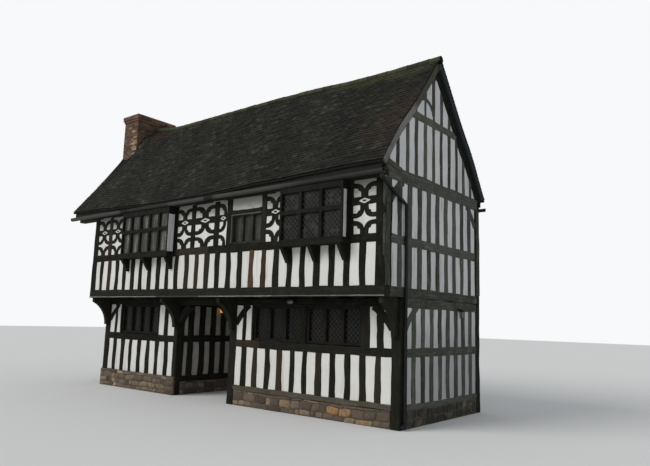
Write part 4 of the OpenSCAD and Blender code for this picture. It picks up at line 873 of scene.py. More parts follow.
def rear_rafter(wall, seed):
    """The broad black rafter on the rear side of a gable, under the tiles' edge, bent over at the ridge. It is
    partly a real rafter, and its breadth is painted shade for the shadow under the rear verge.
    """
    y = np.linspace(ridge_y - 0.13, depth_y - 0.1, 22)
    z = roof_height(wall[0][0], np.maximum(y, 2 * ridge_y - y)) - under_tiles + 0.8 * np.clip(ridge_y - y, 0, None)
    z = z - 0.12 / pitch_cos
    return [hewn(wall, np.stack([y, z], -1)[None], np.array([0.24]), seed, proud=0.008, depth=0.15, wave=0.5)]


def gable_plaster(wall):
    """A field for each storey and a triangle, whose edges follow the rafters a little under their tops."""
    crown = roof_height(wall[0][0], ridge_y) - under_tiles - 0.08
    foot = roof_height(wall[0][0], 0.17) - under_tiles - 0.08
    return plaster(wall, [
        box_field(0.86, low - tuck, 4.28, plate + tuck), box_field(0.22, low2 - tuck, 4.28, 5.2),
        ((0.17, 5.2), (4.33, 5.2), (4.33, foot), (0.17, foot)),
        ((0.17, foot), (4.33, foot), (ridge_y + 0.02, crown), (ridge_y - 0.02, crown))])


silver_oak = oak_finish("silver_oak", rgb(60, 61, 55), rgb(94, 95, 88), colour(130, 130, 122),
                        mossy=colour(70, 78, 56))
# A darker, cooler copy of the limewash: painted shade for faces turned away from the key light. Its grey towards the
# foot is painted shade too.
side_shade_limewash = limewash_finish("side_shade_limewash", colour(210, 210, 210), colour(184, 186, 189), 0.6, foot=0.6)
gables = ("right", right_gable), ("left", left_gable)
for k, (side, wall) in enumerate(gables):
    build(side + "_gable_timbers", gable_frame(wall, 600 + 40 * k), silver_oak, side + "_gable_frame")
for k, (side, wall) in enumerate(gables):
    build(side + "_gable_rear_rafter", rear_rafter(wall, 680 + k), dark_oak)
for side, wall in gables:
    build(side + "_gable_plaster", gable_plaster(wall), side_shade_limewash, side + "_gable_infill")

# Windows
# Dark oak frames with upright bars, and small panes held in diamond lead strips before them. No two
# panes lie in one plane, so each mirrors the sky a little differently.
pane = 0.12


def glass_finish(name, tints, hung, shine, pale):
    """Old glass. Each diamond's number picks how far it leans, and its height over itself is that lean.

    The glass has three tints: one for both ends of the house, which slow noise trades for the second, and
    one for the middle, in pale upright bands that are painted reflections. Left of it, pale curtains hang behind,
    in folds of noise drawn out upwards. Diamonds that their number picks are mixed towards pale, a painted
    reflection.
    """
    f = Finish(name)
    place = f.place()
    x, z = f.split(place, 0), f.split(place, 2)
    p = (x - float(house[0])) / pane + z / pane
    q = (x - float(house[0])) / pane - z / pane
    cell_p = f.node("ShaderNodeMath", {"operation": "FLOOR"}, {0: p})
    cell_q = f.node("ShaderNodeMath", {"operation": "FLOOR"}, {0: q})
    cell = f.node("ShaderNodeCombineXYZ", {}, {0: cell_p, 1: cell_q})
    lean = f.node("ShaderNodeTexWhiteNoise", {}, {"Vector": cell}, 1)
    lean_p, lean_q, shade = f.split(lean, 0) - 0.5, f.split(lean, 1) - 0.5, f.split(lean, 2)
    ripple = f.noise(place, 9.0, 2.0)
    height = (p - cell_p) * lean_p + (q - cell_q) * lean_q + ripple * 0.6
    clear = f.mix(f.noise(place, 1.3, 1.0).step(0.42, 0.58), (*tints[0], 1.0), (*tints[1], 1.0))
    folds = f.noise(f.stretch(place, 9.0, 9.0, 1.1), 1.0, 4.0, 0.65)
    reflection_streaks = f.mix(folds.step(0.42, 0.66), (*tints[2], 1.0), (*(2.2 * t for t in tints[2]), 1.0))
    middle = f.mix(x.step(3.0, 2.6), clear, reflection_streaks)
    # Painted reflection: some diamonds, picked by their number, are mixed towards the pale colour.
    plain = f.mix(shade.step(0.7, 1.0) * 0.6, middle, pale)
    cloth = f.ramp(folds, (0.34, rgb(58, 59, 55)), (0.5, rgb(84, 85, 79)), (0.6, rgb(118, 119, 112)),
                   (0.7, rgb(150, 151, 144)))
    base = f.mix(x.step(0.2, -0.2), plain, cloth) if hung else plain
    return f.done({"Base Color": base, "Roughness": 0.12, "IOR": 1.5, "Specular IOR Level": shine,
                   "Normal": f.bump(height, 0.5, 0.012)})


dress("upper_glass", glass_finish("upper_panes", (rgb(18, 19, 17), rgb(27, 27, 24), rgb(52, 52, 48)), True, 0.25,
                                  colour(62, 63, 58)))
# The ground panes are darker in tint and in their pale colour: painted shade under the jetty.
dress("ground_glass", glass_finish("shaded_ground_panes", (rgb(25, 18, 15), rgb(12, 18, 15), rgb(16, 17, 15)), False, 0.12,
                                   colour(34, 35, 32)))
frame_oak = oak_finish("window_oak", rgb(18, 18, 15), rgb(32, 31, 26), colour(52, 50, 43), 2)
for node in ("left_ground_window", "right_ground_window", "rear_windows", "left_oriel", "right_oriel"):
    dress(node, frame_oak, 0.005)
dress("middle_window", oak_finish("casement_oak", rgb(32, 31, 26), rgb(56, 54, 46), colour(96, 95, 86), 2), 0.006)


def lead_finish(name, tone):
    f = Finish(name)
    dull = f.noise(f.place(), 30.0, 3.0)
    return f.done({"Base Color": f.mix(dull.step(0.3, 0.7), tone, colour(44, 45, 42)), "Metallic": 0.3,
                   "Roughness": 0.55})


def lead_strips(wall, openings, w, thick=0.006, width=0.012):
    """Diamond strips over each opening: lines of both slants, cut where they enter and leave it.

    Each strip has four points at its foot and four, half as far apart, on its face.
    """
    parts = []
    for u0, v0, u1, v1 in openings:
        for slant in (1.0, -1.0):
            ends = np.array([v0, v1])[:, None] - slant * np.array([u0, u1])[None]
            offset = np.arange(math.floor(ends.min() / pane), math.ceil(ends.max() / pane) + 1) * pane
            t_low, t_high = (v0 - offset) / slant, (v1 - offset) / slant
            enter = np.maximum(np.minimum(t_low, t_high), u0)
            leave = np.minimum(np.maximum(t_low, t_high), u1)
            keep = leave - enter > 0.012
            enter, leave, offset = enter[keep], leave[keep], offset[keep]
            start = np.stack([enter, enter * slant + offset], -1)
            stop = np.stack([leave, leave * slant + offset], -1)
            along = (stop - start) / np.linalg.norm(stop - start, axis=1, keepdims=True)
            side = np.stack([-along[:, 1], along[:, 0]], -1) * width / 2
            base = np.stack([start - side, start + side, stop + side, stop - side], 1)
            crest = base - np.stack([-side, side, side, -side], 1) * 0.5
            low_ring = on_wall(wall, base[..., 0], base[..., 1], np.full(base.shape[:2], w))
            high_ring = on_wall(wall, crest[..., 0], crest[..., 1], np.full(base.shape[:2], w + thick))
            points = np.concatenate([low_ring, high_ring], 1).reshape(-1, 3)
            at = np.arange(len(points)).reshape(-1, 8)
            faces = np.concatenate([at[:, [0, 1, 5, 4]], at[:, [1, 2, 6, 5]], at[:, [2, 3, 7, 6]],
                                    at[:, [3, 0, 4, 7]], at[:, [4, 5, 6, 7]]])
            parts.append((points, facing(wall, [faces[:, ::-1]]), {}))
    return parts


def lights(u0, u1, v0, v1, count, rim=0.055, bar=0.08):
    """The clear openings of a window frame with upright bars."""
    each = (u1 - u0 - 2 * rim - (count - 1) * bar) / count
    lefts = [u0 + rim + k * (each + bar) for k in range(count)]
    return [(left, v0 + rim, left + each, v1 - rim) for left in lefts]


def oriel_lights(bay, count):
    """The openings of an oriel's two rows, over and under its transom."""
    u0, u1 = bays[bay]
    rows = (3.90, 4.58), (4.565, 5.075)
    return [light for row in rows for light in lights(u0 - 0.06, u1 + 0.06, *row, count)]


pale_lead, dark_lead = lead_finish("pale_lead", colour(70, 70, 63)), lead_finish("dark_lead", colour(32, 32, 29))
oriel_wall, oriel_lead, wall_lead, mullion = ((0, -0.25, 0), X, FRONT), -0.067, -0.107, 0.09
window0, window1 = bays["window"]
for name, wall, out, lead, openings in (
        ("left_oriel", oriel_wall, oriel_lead, dark_lead, oriel_lights("left_oriel", 5)),
        ("right_oriel", oriel_wall, oriel_lead, pale_lead, oriel_lights("right_oriel", 3)),
        ("middle_window", upper_wall, wall_lead, dark_lead, lights(window0, window1, star, window_head, 3)),
        ("left_ground", front_wall, wall_lead, dark_lead, lights(*left_window, rail_top, plate, 4)),
        ("right_ground", front_wall, wall_lead, dark_lead,
         lights(right_window[0], window_middle - mullion, rail_top, plate, 3)),
        ("far_ground", front_wall, wall_lead, pale_lead,
         lights(window_middle + mullion, right_window[1], rail_top, plate, 3)),
        ("rear_window", rear_wall, wall_lead, dark_lead,
         [light for window in rear_windows for light in lights(*window, star, window_head, 3)])):
    build(name + "_leads", lead_strips(wall, openings, out), lead)
edge_oak = oak_finish("window_edge_oak", rgb(70, 70, 62), rgb(108, 107, 98), colour(120, 119, 110))
edge_rows = np.concatenate([beams(4.742, 0.032, (window0 + 0.01, window1 - 0.01)),
                            uprights(4.02, 4.75, (window0 + 0.016, 0.03))])
build("middle_window_edge", [straight(upper_wall, edge_rows, 890, proud=0.006, depth=0.03, wave=0.4,
                                      tone=(0.5, 0.1))], edge_oak)
# The oriels' side cheeks take the same shaded copy of the limewash, as painted shade.
build("oriel_cheeks", [
    part for side, x, y0, y1 in ((LEFT, 1.90, -0.245, -0.06), (X, 4.12, -0.245, -0.06),
                                 (LEFT, 8.27, -0.214, -0.118), (X, 10.08, -0.214, -0.118))
    for part in plaster(((x, 0, 0), Y, side), [box_field(y0, 3.93, y1, 4.96)], back=0.0, face=-0.007)],
    side_shade_limewash)

# Roof
# Hand-made clay plain tiles in close courses on battens and rafters, dark with age, mossy at the ridge
# and red where some were renewed. The courses dip a little between the trusses.


def tile_finish():
    """Clay that is dark and olive, brown where its mark says so, with moss and pale lichen specks."""
    f = Finish("clay_tiles")
    place = f.place()
    base = f.ramp(f.mark("tone"), (0.0, rgb(21, 21, 18)), (0.5, rgb(37, 37, 31)), (0.82, rgb(50, 50, 43)),
                  (1.0, rgb(64, 63, 55)))
    brown = f.mix(f.mark("renewed"), base, colour(64, 46, 38))
    speck = f.noise(place, 26.0, 5.0, 0.65)
    lichen = f.mix(speck.step(0.5, 0.68) * 0.3, brown, colour(66, 66, 57))
    broad = f.noise(place, 1.7, 4.0)
    moss = f.mix((f.mark("moss") + broad * 0.8 - 0.4).step(0.3, 0.7) * 0.85, lichen, colour(70, 71, 49))
    return f.done({"Base Color": moss, "Roughness": 0.9, "Specular IOR Level": 0.15,
                   "Normal": f.bump(speck, 0.5, 0.006)})


def on_slope(points, faces, marks, flip):
    """A part of the front slope, or, flipped, the same part on the rear slope with its faces turned."""
    if flip:
        points, faces = points * (1, -1, 1) + (0, 2 * ridge_y, 0), [f[:, ::-1] for f in faces]
    return (points, faces, marks)


def tiles(seed, flip, verge):
    """Tiles as plates on the slope. The tail of each stands 26 mm over the plane, its head 12 mm.

    Each has four points across at tail and head, four under the tail and two under the head. Its place is
    its course, up the slope, and its column along it, and every other course is shifted by half a tile.
    """
    rng = np.random.default_rng(seed)
    courses, across = 41, 74
    length = (ridge_y - eaves_y) / pitch_cos
    gauge, broad = (length - 0.02) / courses, (verge - roof_left) / across
    row, column = (a.ravel() for a in np.meshgrid(np.arange(courses), np.arange(across + 1), indexing="ij"))
    left = roof_left + (column - 0.5 * (row % 2)) * broad
    x0, x1 = np.clip(left, roof_left, verge), np.clip(left + broad, roof_left, verge)
    s = row * gauge + rng.normal(0, 0.0035, row.size) + 0.006 * np.sin(1.1 * x0 + row * 2.4)
    in_stack = (x0 < stack_right) & (eaves_y + (s + gauge / 2) * pitch_cos > stack_front - 0.02)
    keep = (x1 - x0 > 0.03) & ~in_stack
    x0, x1, s, row = x0[keep], x1[keep], s[keep], row[keep]
    slipped = np.where(rng.random(len(s)) < 0.006, rng.uniform(0.01, 0.03, len(s)), 0)
    s = np.maximum(s - slipped * (row > 0), 0.0)
    t = np.array([0, 0.34, 0.66, 1.0])
    cross = x0[:, None] + 0.0025 + (x1 - x0 - 0.005)[:, None] * t
    bend = np.array([0, 0.003, 0.003, 0]) + rng.normal(0, 0.0025, (len(s), 1)) * (t - 0.5)
    tail = 0.026 + rng.normal(0, 0.0025, (len(s), 1)) + bend
    head = 0.012 + bend
    s_tail = s[:, None] + rng.normal(0, 0.002, (len(s), 1)) * (t - 0.5) * 2
    s_head = np.minimum(s[:, None] + gauge * 1.3 + 0 * cross, length - 0.01)
    xs = np.concatenate([cross, cross, cross, cross[:, [0, 3]]], 1)
    up = np.concatenate([s_tail, s_head, s_tail + 0.001, s_head[:, [0, 3]]], 1)
    over = np.concatenate([tail, head, tail - 0.014, head[:, [0, 3]] - 0.016], 1) - 0.034
    y = eaves_y + up * pitch_cos
    z = roof_height(xs, y) + over * pitch_cos
    y = np.maximum(y - over * pitch_sin, eaves_y)
    points = np.stack([xs, y, z], -1).reshape(-1, 3)
    at = np.arange(len(points)).reshape(-1, 14)
    quads = [[0, 1, 5, 4], [1, 2, 6, 5], [2, 3, 7, 6], [8, 9, 1, 0], [9, 10, 2, 1], [10, 11, 3, 2], [8, 0, 4, 12],
             [3, 11, 13, 7]]
    faces = np.concatenate([at[:, q] for q in quads])
    middle, share = (x0 + x1) / 2, s / length
    tone = rng.normal(0.42, 0.2, len(s)) + 0.1 * np.sin(3 * middle + 4 * share)
    by_verge = np.exp(-((middle - 10.9) / 0.8) ** 2 - ((share - 0.4) / 0.26) ** 2)
    # Near the right verge more tiles are made lighter: painted highlights on the courses there, on top of the tiles'
    # own random tone.
    tone = np.clip(tone + (rng.random(len(s)) < 0.016 + 0.06 * by_verge) * rng.uniform(0.2, 0.6, len(s)), 0, 1)
    by_stack = np.exp(-((middle + 0.1) / 0.8) ** 2 - ((share - 0.93) / 0.12) ** 2)
    newer = rng.random(len(s)) < 0.01 + 0.3 * by_verge + 0.25 * by_stack
    brown = np.clip(0.3 * by_verge + 0.5 * by_stack + newer * rng.uniform(0.2, 0.8, len(s)), 0, 1)
    moss = np.clip((share - 0.7) * 2.4, 0, 0.75) * (0.4 + 0.6 * np.exp(-((middle - 9.6) / 2.5) ** 2)
                                                    + 0.35 * np.exp(-((middle - 2) / 3) ** 2))
    marks = {"tone": np.repeat(tone, 14), "renewed": np.repeat(brown, 14), "moss": np.repeat(moss, 14)}
    return on_slope(points, [faces], marks, flip)


def roof_sheet(x0, x1, y1, flip):
    """A closed sheet under the tiles from the eaves to a line, on a grid that follows the heights of the roof."""
    columns, rows = max(3, int((x1 - x0) / 0.2)), 17
    x, y = np.meshgrid(np.linspace(x0, x1, columns), np.linspace(eaves_y + 0.02, y1, rows), indexing="ij")
    points = np.concatenate([np.stack([x, y, roof_height(x, y) - drop], -1).reshape(-1, 3)
                             for drop in (0.058, 0.098)])
    marks = {mark: np.zeros(len(points)) for mark in ("tone", "renewed", "moss")}
    return on_slope(points, slab_faces(columns, rows), marks, flip)


clay, rear_verge = tile_finish(), roof_right + 0.05
for side, flip, verge in (("front", False, roof_right), ("rear", True, rear_verge)):
    build(side + "_tiles", [tiles(700 + flip, flip, verge), roof_sheet(stack_right, verge - 0.01, ridge_y, flip),
                            roof_sheet(roof_left + 0.015, stack_right, stack_front - 0.01, flip)],
          clay, side + "_roof_slope")


def tube(x, y, z):
    """Points and faces of a closed tube, from coordinates that spread to an array of stations by ring points.

    The ring runs clockwise as seen from where the stations end.
    """
    spots = np.stack(np.broadcast_arrays(x, y, z), -1)
    at = np.arange(spots[..., 0].size).reshape(spots.shape[:2])
    return spots.reshape(-1, 3), [closed_grid(at.T), np.stack([at[0], at[-1, ::-1]])]


def rafters(flip, seed):
    """Rafters under the tiles at close centres: square sticks of nine stations that follow the roof."""
    rng = np.random.default_rng(seed)
    wide, deep, lowest = 0.09, 0.145, 5.21
    parts = []
    for x in np.linspace(-0.98, 10.9, 24):
        y = np.linspace(eaves_y + 0.07, stack_front - 0.01 if x < stack_right - 0.05 else ridge_y, 9)
        top = roof_height(x, y) - 0.1
        foot = np.maximum(top - deep, lowest)
        points, faces = tube(np.array([x, x + wide, x + wide, x]), y[:, None], np.stack([foot, foot, top, top], 1))
        points, faces, marks = on_slope(points, faces, {}, flip)
        marks["grain"] = points[:, [0, 2, 1]] * np.array([1.0, 0.2, 1.6]) + rng.uniform(0, 20)
        marks["tone"] = np.full(36, rng.uniform(0.2, 0.65))
        parts.append((points, faces, marks))
    return parts


build("front_rafters", rafters(False, 720), plank_oak)
build("rear_rafters", rafters(True, 721), plank_oak)


def long_beam(x0, y0, y1, deep, seed, level=None):
    """A squared beam along the house: four corners in y and z, at twenty-five stations that wander a little.

    Its top lies under the rafters and follows the roof, or lies at its own level.
    """
    rng = np.random.default_rng(seed)
    x = np.linspace(x0, 10.96, 25)
    front, rear = [roof_height(x, np.full(25, y)) - under_tiles - 0.02 if level is None else 0 * x + level
                   for y in (y0, y1)]
    bottom = np.minimum(front, rear) - deep + 0.004 * np.sin(2.1 * x + rng.uniform(0, 6))
    y = np.array([y0, y0, y1, y1]) + rng.normal(0, 0.003, (25, 1))
    points, faces = tube(x[:, None], y, np.stack([bottom, front, rear, bottom], 1))
    return (points, faces, {"grain": points[:, [1, 2, 0]] + rng.uniform(0, 9), "tone": np.full(100, 0.4)})


beam_left, plate_level = -1.03, 5.435
build("purlins_and_plates", [
    long_beam(beam_left, 1.0, 1.15, 0.2, 730), long_beam(beam_left, 3.35, 3.5, 0.2, 731),
    long_beam(stack_right + 0.01, 2.175, 2.325, 0.2, 732), long_beam(beam_left, 0.01, 0.2, 0.28, 733, plate_level),
    long_beam(beam_left, 4.3, 4.49, 0.28, 734, plate_level)], plank_oak, "roof_timbers")

# Ridge tiles
# Half-round clay tiles a foot long, bedded in mortar over the top courses, green with moss and lichen.


def ridge(seed):
    """Each tile is an arch of eleven points, carried a foot along the ridge and lipped at its end."""
    rng = np.random.default_rng(seed)
    parts = []
    ends = np.linspace(stack_right, rear_verge, 39)
    angle = np.linspace(math.radians(-28), math.radians(208), 11)
    radius = np.array([0.089, 0.093, 0.093, 0.097, 0.096, 0.08])
    for x0, x1 in zip(ends[:-1], ends[1:]):
        xs = np.array([x0 + 0.002, x0 + 0.01, x1 - 0.035, x1 - 0.03, x1 + 0.004, x1 + 0.004])
        y = ridge_y + radius[:, None] * np.cos(angle)[None]
        crown = roof_height(xs, ridge_y) - 0.066 + rng.normal(0, 0.003)
        z = crown[:, None] + radius[:, None] * np.sin(angle)[None]
        points = np.stack([np.repeat(xs[:, None], 11, 1), y, z], -1).reshape(-1, 3)
        marks = {"tone": np.full(66, rng.uniform(0.5, 0.95)), "renewed": np.full(66, rng.uniform(0, 0.15)),
                 "moss": np.full(66, rng.uniform(0.35, 0.85))}
        parts.append((points, [grid_faces(6, 11)[:, ::-1]], marks))
    return parts


build("ridge_line", ridge(740), clay, "ridge_tiles", smooth=True)

# Bargeboards and eaves boards
# Softwood boards painted grey, thin and flaking, nailed over the rafters' ends and along the eaves. The
# boards of the rear slope and the eaves are coloured dark, a painted shade for the shadow under the verge and eaves.


def paint_finish(name, paint, worn, damp, moss):
    """Flaking paint. Behind the ridge it takes the tone given as damp, a dark green painted shade, and high up its
    moss.
    """
    f = Finish(name)
    place = f.place()
    flake = f.noise(f.stretch(place, 5.0, 5.0, 5.0), 1.0, 6.0, 0.7)
    fine = f.noise(place, 40.0, 4.0)
    stain = f.noise(place, 1.6, 3.0)
    behind = f.split(place, 1).step(-0.02, 0.02)
    high = f.split(place, 2) + stain * 1.2
    mossy = f.mix(high.step(7.2, 7.9) * 0.9, f.mix(stain.step(0.4, 0.7) * 0.5, paint, worn), moss)
    painted = f.mix(behind, mossy, damp)
    return f.done({"Base Color": f.mix((flake + fine * 0.3).step(0.66, 0.82) * 0.5, painted, colour(46, 43, 38)),
                   "Roughness": 0.8, "Specular IOR Level": 0.2,
                   "Normal": f.bump(flake * 0.6 + fine * 0.4, 0.4, 0.004)})


def verge_boards(wall, outs, depths, inner, seed):
    """Two boards under the tiles' edge, as lines along the roof's heights up to the ridge or the stack."""
    boards = []
    for mirrored, out, depth in zip((False, True), outs, depths):
        y = np.linspace(-0.1, inner, 26)
        z = roof_height(wall[0][0], y) - 0.06 - 0.085 / pitch_cos
        line = np.stack([2 * ridge_y - y if mirrored else y, z], -1)
        boards.append(hewn(wall, line[None], np.array([0.17]), seed + mirrored, proud=out, depth=depth, wave=0.25))
    return boards


# Behind the ridge this paint turns dark green: painted shade for the shadow under the rear verge.
grey_paint = paint_finish("grey_paint", colour(122, 122, 119), colour(92, 90, 85), colour(30, 40, 41),
                          colour(66, 64, 50))
build("right_verge_boards", verge_boards(right_gable, (0.031, 0.081), (0.011, 0.011), ridge_y + 0.03, 750),
      grey_paint, "right_bargeboards")
build("left_verge_boards", verge_boards(left_gable, (1.085, 1.085), (-1.043, -1.043), stack_front - 0.01, 760),
      grey_paint, "left_bargeboards")
# Near black all over: painted shade for the shadow under the eaves.
eaves_shade_paint = paint_finish("eaves_shade_paint", colour(28, 28, 24), colour(20, 20, 17), colour(28, 28, 25),
                           colour(28, 28, 24))
dress("eaves_boards", eaves_shade_paint, 0.003)

# Gutters and downpipe
# Deep half-round gutters hang on brackets before the eaves boards, grey and darker in stretches, and a fillet,
# dark with painted shade, fills the eaves up to the tiles. The pipe swings round the corner to the gable, and is
# painted black.


def iron_finish(name, paint, stain, shine):
    """Dull paint, dusty in patches, and darker in the stretches of the house that a ramp on x picks."""
    f = Finish(name)
    place = f.place()
    dust = f.noise(place, 6.0, 4.0)
    fine = f.noise(place, 70.0, 3.0)
    along = (f.split(place, 0) + dust * 0.3) / 12 + 0.5
    stretch = f.ramp(along, (0.0, (0, 0, 0)), (0.235, (0, 0, 0)), (0.25, (1, 1, 1)), (0.27, (1, 1, 1)),
                     (0.285, (0.8, 0.8, 0.8)), (0.43, (0.7, 0.7, 0.7)), (0.445, (0, 0, 0)), (0.56, (0, 0, 0)),
                     (0.565, (1, 1, 1)), (0.59, (1, 1, 1)), (0.6, (0, 0, 0)), (0.78, (0.1, 0.1, 0.1)),
                     (0.86, (0.75, 0.75, 0.75)), (1.0, (0.6, 0.6, 0.6)))
    # The stretches that the ramp picks are darker.
    stained = f.mix(stretch, paint, stain)
    return f.done({"Base Color": f.mix(dust.step(0.45, 0.75) * 0.3, stained, colour(48, 49, 45)), "Roughness": 0.6,
                   "Specular IOR Level": shine, "Normal": f.bump(fine, 0.2, 0.002)})


black_iron = iron_finish("black_paint", colour(13, 15, 16), colour(10, 11, 11), 0.3)
grey_iron = iron_finish("gutter_paint", colour(68, 69, 63), colour(22, 22, 19), 0.15)
dress("gutters", grey_iron)
dress("downpipe", black_iron)


def eaves_fillet(flip):
    """A strip from the eaves board up to the tiles, as a ring of four points at each station."""
    x, board_top, middle = np.linspace(-1.0, 10.99, 61), 5.28, -0.155
    foot, top = 0 * x + board_top, roof_height(x, np.full(61, middle)) - 0.098
    return on_slope(*tube(x[:, None], np.array([-0.169, -0.169, -0.141, -0.141]),
                          np.stack([foot, top, top, foot], 1)), {}, flip)


# The fillets take the same painted shade as the eaves boards.
build("eaves_fillets", [eaves_fillet(False), eaves_fillet(True)], eaves_shade_paint)


def gutter_lip(flip):
    """A lip with a rolled edge on the gutter's front rim: a ring of six points carried along the house."""
    x0, x1 = (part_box("gutters")[k].x - house[0] for k in (0, 1))
    x = np.linspace(x0 + 0.004, x1 - 0.004, 61)[:, None]
    y = np.array([-0.281, -0.281, -0.286, -0.281, -0.276, -0.276])
    z = np.array([5.212, 5.256, 5.262, 5.268, 5.262, 5.212]) + 0.002 * np.sin(2.3 * x)
    return on_slope(*tube(x, y, z), {}, flip)


build("gutter_lips", [gutter_lip(False), gutter_lip(True)], grey_iron)


def gutter_straps(flip):
    """Straps under the gutter every metre or so: a half ring a little wider than the gutter."""
    gutter_y, gutter_z = -0.225, 5.2213
    angle = np.linspace(math.pi, 2 * math.pi, 9)[:, None]
    radius, across = np.array([0.0555, 0.0595, 0.0595, 0.0555]), np.array([0, 0, 0.03, 0.03])
    y, z = gutter_y + radius * np.cos(angle), gutter_z + radius * np.sin(angle)
    return [on_slope(*tube(x + across, y, z), {}, flip) for x in np.linspace(-0.9, 10.9, 13)]


build("gutter_straps", gutter_straps(False) + gutter_straps(True), grey_iron)

# Chimney
# Red-brown handmade brick in lime mortar, on the left gable: a broad breast, a sloped shoulder and a
# stack with two oversailing courses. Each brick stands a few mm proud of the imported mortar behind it.


def brick_finish():
    f = Finish("handmade_brick")
    place = f.place()
    pit = f.noise(place, 42.0, 5.0, 0.65)
    soot = f.noise(place, 1.2, 3.0)
    base = f.ramp(f.mark("tone"), (0.0, rgb(58, 52, 48)), (0.3, rgb(88, 68, 58)), (0.6, rgb(112, 84, 70)),
                  (0.85, rgb(128, 92, 72)), (1.0, rgb(176, 158, 122)))
    pitted = f.mix(pit.step(0.5, 0.68) * 0.45, base, colour(64, 54, 48))
    aged = f.mix(soot.step(0.45, 0.75) * 0.5, pitted, colour(52, 54, 46))
    return f.done({"Base Color": aged, "Roughness": 0.92, "Specular IOR Level": 0.25,
                   "Normal": f.bump(pit, 0.6, 0.006)})


def bricks(wall, u0, u1, v0, v1, seed, pale=None):
    """Courses of stretchers and headers. Each brick is a face, four bevels and four sides, twelve points.

    Pale is the middle and the reach, both ways, of a patch of cream bricks.
    """
    rng = np.random.default_rng(seed)
    course, joint = 0.075, 0.01
    rows = []
    for k in range(int(round((v1 - v0) / course))):
        v = v0 + k * course
        x = u0 - (0.1125 if k % 2 else 0.0)
        turn = k
        while x < u1 - 0.02:
            size = 0.215 if turn % 3 else 0.1025
            a, b = max(x, u0), min(x + size, u1)
            if b - a > 0.035:
                rows.append((a, v, b, v + course - joint))
            x += size + joint
            turn += 1
    count, ease = len(rows), 0.004
    a, v_low, b, v_high = (np.array(rows) + rng.normal(0, 0.0015, (count, 4))).T
    proud = 0.005 + rng.normal(0, 0.0018, count)
    u = np.stack([a, b, b, a, a, b, b, a, a + ease, b - ease, b - ease, a + ease], 1)
    v = np.stack([v_low, v_low, v_high, v_high] * 2 + [v_low + ease, v_low + ease, v_high - ease, v_high - ease], 1)
    w = np.stack([0 * proud - 0.02] * 4 + [proud - ease] * 4 + [proud] * 4, 1)
    w[:, 8:] += rng.normal(0, 0.0008, (count, 4))
    points = on_wall(wall, u, v, w).reshape(-1, 3)
    at = np.arange(count * 12).reshape(-1, 12)
    quads = [[8, 9, 10, 11], [4, 5, 9, 8], [5, 6, 10, 9], [6, 7, 11, 10], [7, 4, 8, 11], [0, 1, 5, 4], [1, 2, 6, 5],
             [2, 3, 7, 6], [3, 0, 4, 7]]
    faces = np.concatenate([at[:, q] for q in quads])
    tone = np.clip(rng.normal(0.5, 0.2, count), 0, 0.88)
    if pale:
        near = np.exp(-(((a + b) / 2 - pale[0]) / pale[2]) ** 2 - ((v_low - pale[1]) / pale[3]) ** 2)
        tone = np.where(rng.random(count) < near * 0.8, rng.uniform(0.9, 1.0, count), tone)
    return (points, facing(wall, [faces]), {"tone": np.repeat(tone, 12)})


breast_front, breast_rear, shoulder, shoulder_top, stack_top = 1.37, 3.13, 5.15, 5.85, 9.24689
neck, cap = stack_top - 0.225, stack_top - 0.15


def brick_wall(side, at, span, heights, seed, pale=None):
    """Bricks on one upright face, which looks along x or y, lies at a place on it and spans the other one."""
    across = side in (FRONT, REAR)
    origin = (0, at, 0) if across else (at, 0, 0)
    return bricks((origin, X if across else Y, side), *span, *heights, seed, pale)


stack_x, stack_y = (stack_left, stack_right), (stack_front, stack_rear)
breast_x, breast_y = (stack_left, 0), (breast_front, breast_rear)
brickwork = [
    brick_wall(FRONT, stack_front, stack_x, (shoulder_top, neck), 801, (-0.52, 8.1, 0.16, 0.4)),
    brick_wall(REAR, stack_rear, stack_x, (shoulder_top, neck), 802),
    brick_wall(LEFT, stack_left, stack_y, (shoulder, neck), 803),
    brick_wall(X, stack_right, stack_y, (shoulder_top, neck), 804),
    brick_wall(FRONT, breast_front, breast_x, (0, 5.1), 805), brick_wall(REAR, breast_rear, breast_x, (0, 5.1), 806),
    brick_wall(LEFT, stack_left, breast_y, (0, shoulder), 807),
    brick_wall(FRONT, stack_front, stack_x, (shoulder, shoulder_top), 808),
    brick_wall(REAR, stack_rear, stack_x, (shoulder, shoulder_top), 809)]
for out, heights, seed in ((0.028, (neck, cap), 820), (0.056, (cap, stack_top), 830)):
    (x0, x1), (y0, y1) = ((low_end - out, high_end + out) for low_end, high_end in (stack_x, stack_y))
    brickwork += [brick_wall(side, at, span, heights, seed + k) for k, (side, at, span) in enumerate(
        ((FRONT, y0, (x0, x1)), (REAR, y1, (x0, x1)), (LEFT, x0, (y0, y1)), (X, x1, (y0, y1))))]
dress("chimney", lime_mortar)
build("chimney_bricks", brickwork, brick_finish())

# Lamps
# A six-sided lantern with an amber glass hangs in the passage, a second one on the gable, and an oval
# lamp with a frosted glass is screwed to the plate over the long window.
dress("lamps", black_iron)


def lamp_glass(x, y):
    """Six panes over a lantern's body, each a little smaller than its side and 3 mm before it."""
    corner_angle, body_foot = np.linspace(0, 2 * math.pi, 7), 2.3085
    share, height = np.array([0.12, 0.88, 0.88, 0.12]), np.array([0.014, 0.014, 0.158, 0.158])
    radius = 0.049 + 0.021 * height / 0.17
    at = np.arange(8)
    faces = np.array([at[[4, 5, 6, 7]], at[[0, 1, 5, 4]], at[[1, 2, 6, 5]], at[[2, 3, 7, 6]], at[[3, 0, 4, 7]]])
    parts = []
    for a, b in zip(corner_angle[:-1], corner_angle[1:]):
        side = np.stack([np.cos(a) + (np.cos(b) - np.cos(a)) * share,
                         np.sin(a) + (np.sin(b) - np.sin(a)) * share], -1)
        rings = [np.stack([x + side[:, 0] * (radius + out), y + side[:, 1] * (radius + out), body_foot + height], -1)
                 for out in (-0.004, 0.003)]
        parts.append((np.concatenate(rings), [faces], {}))
    return parts


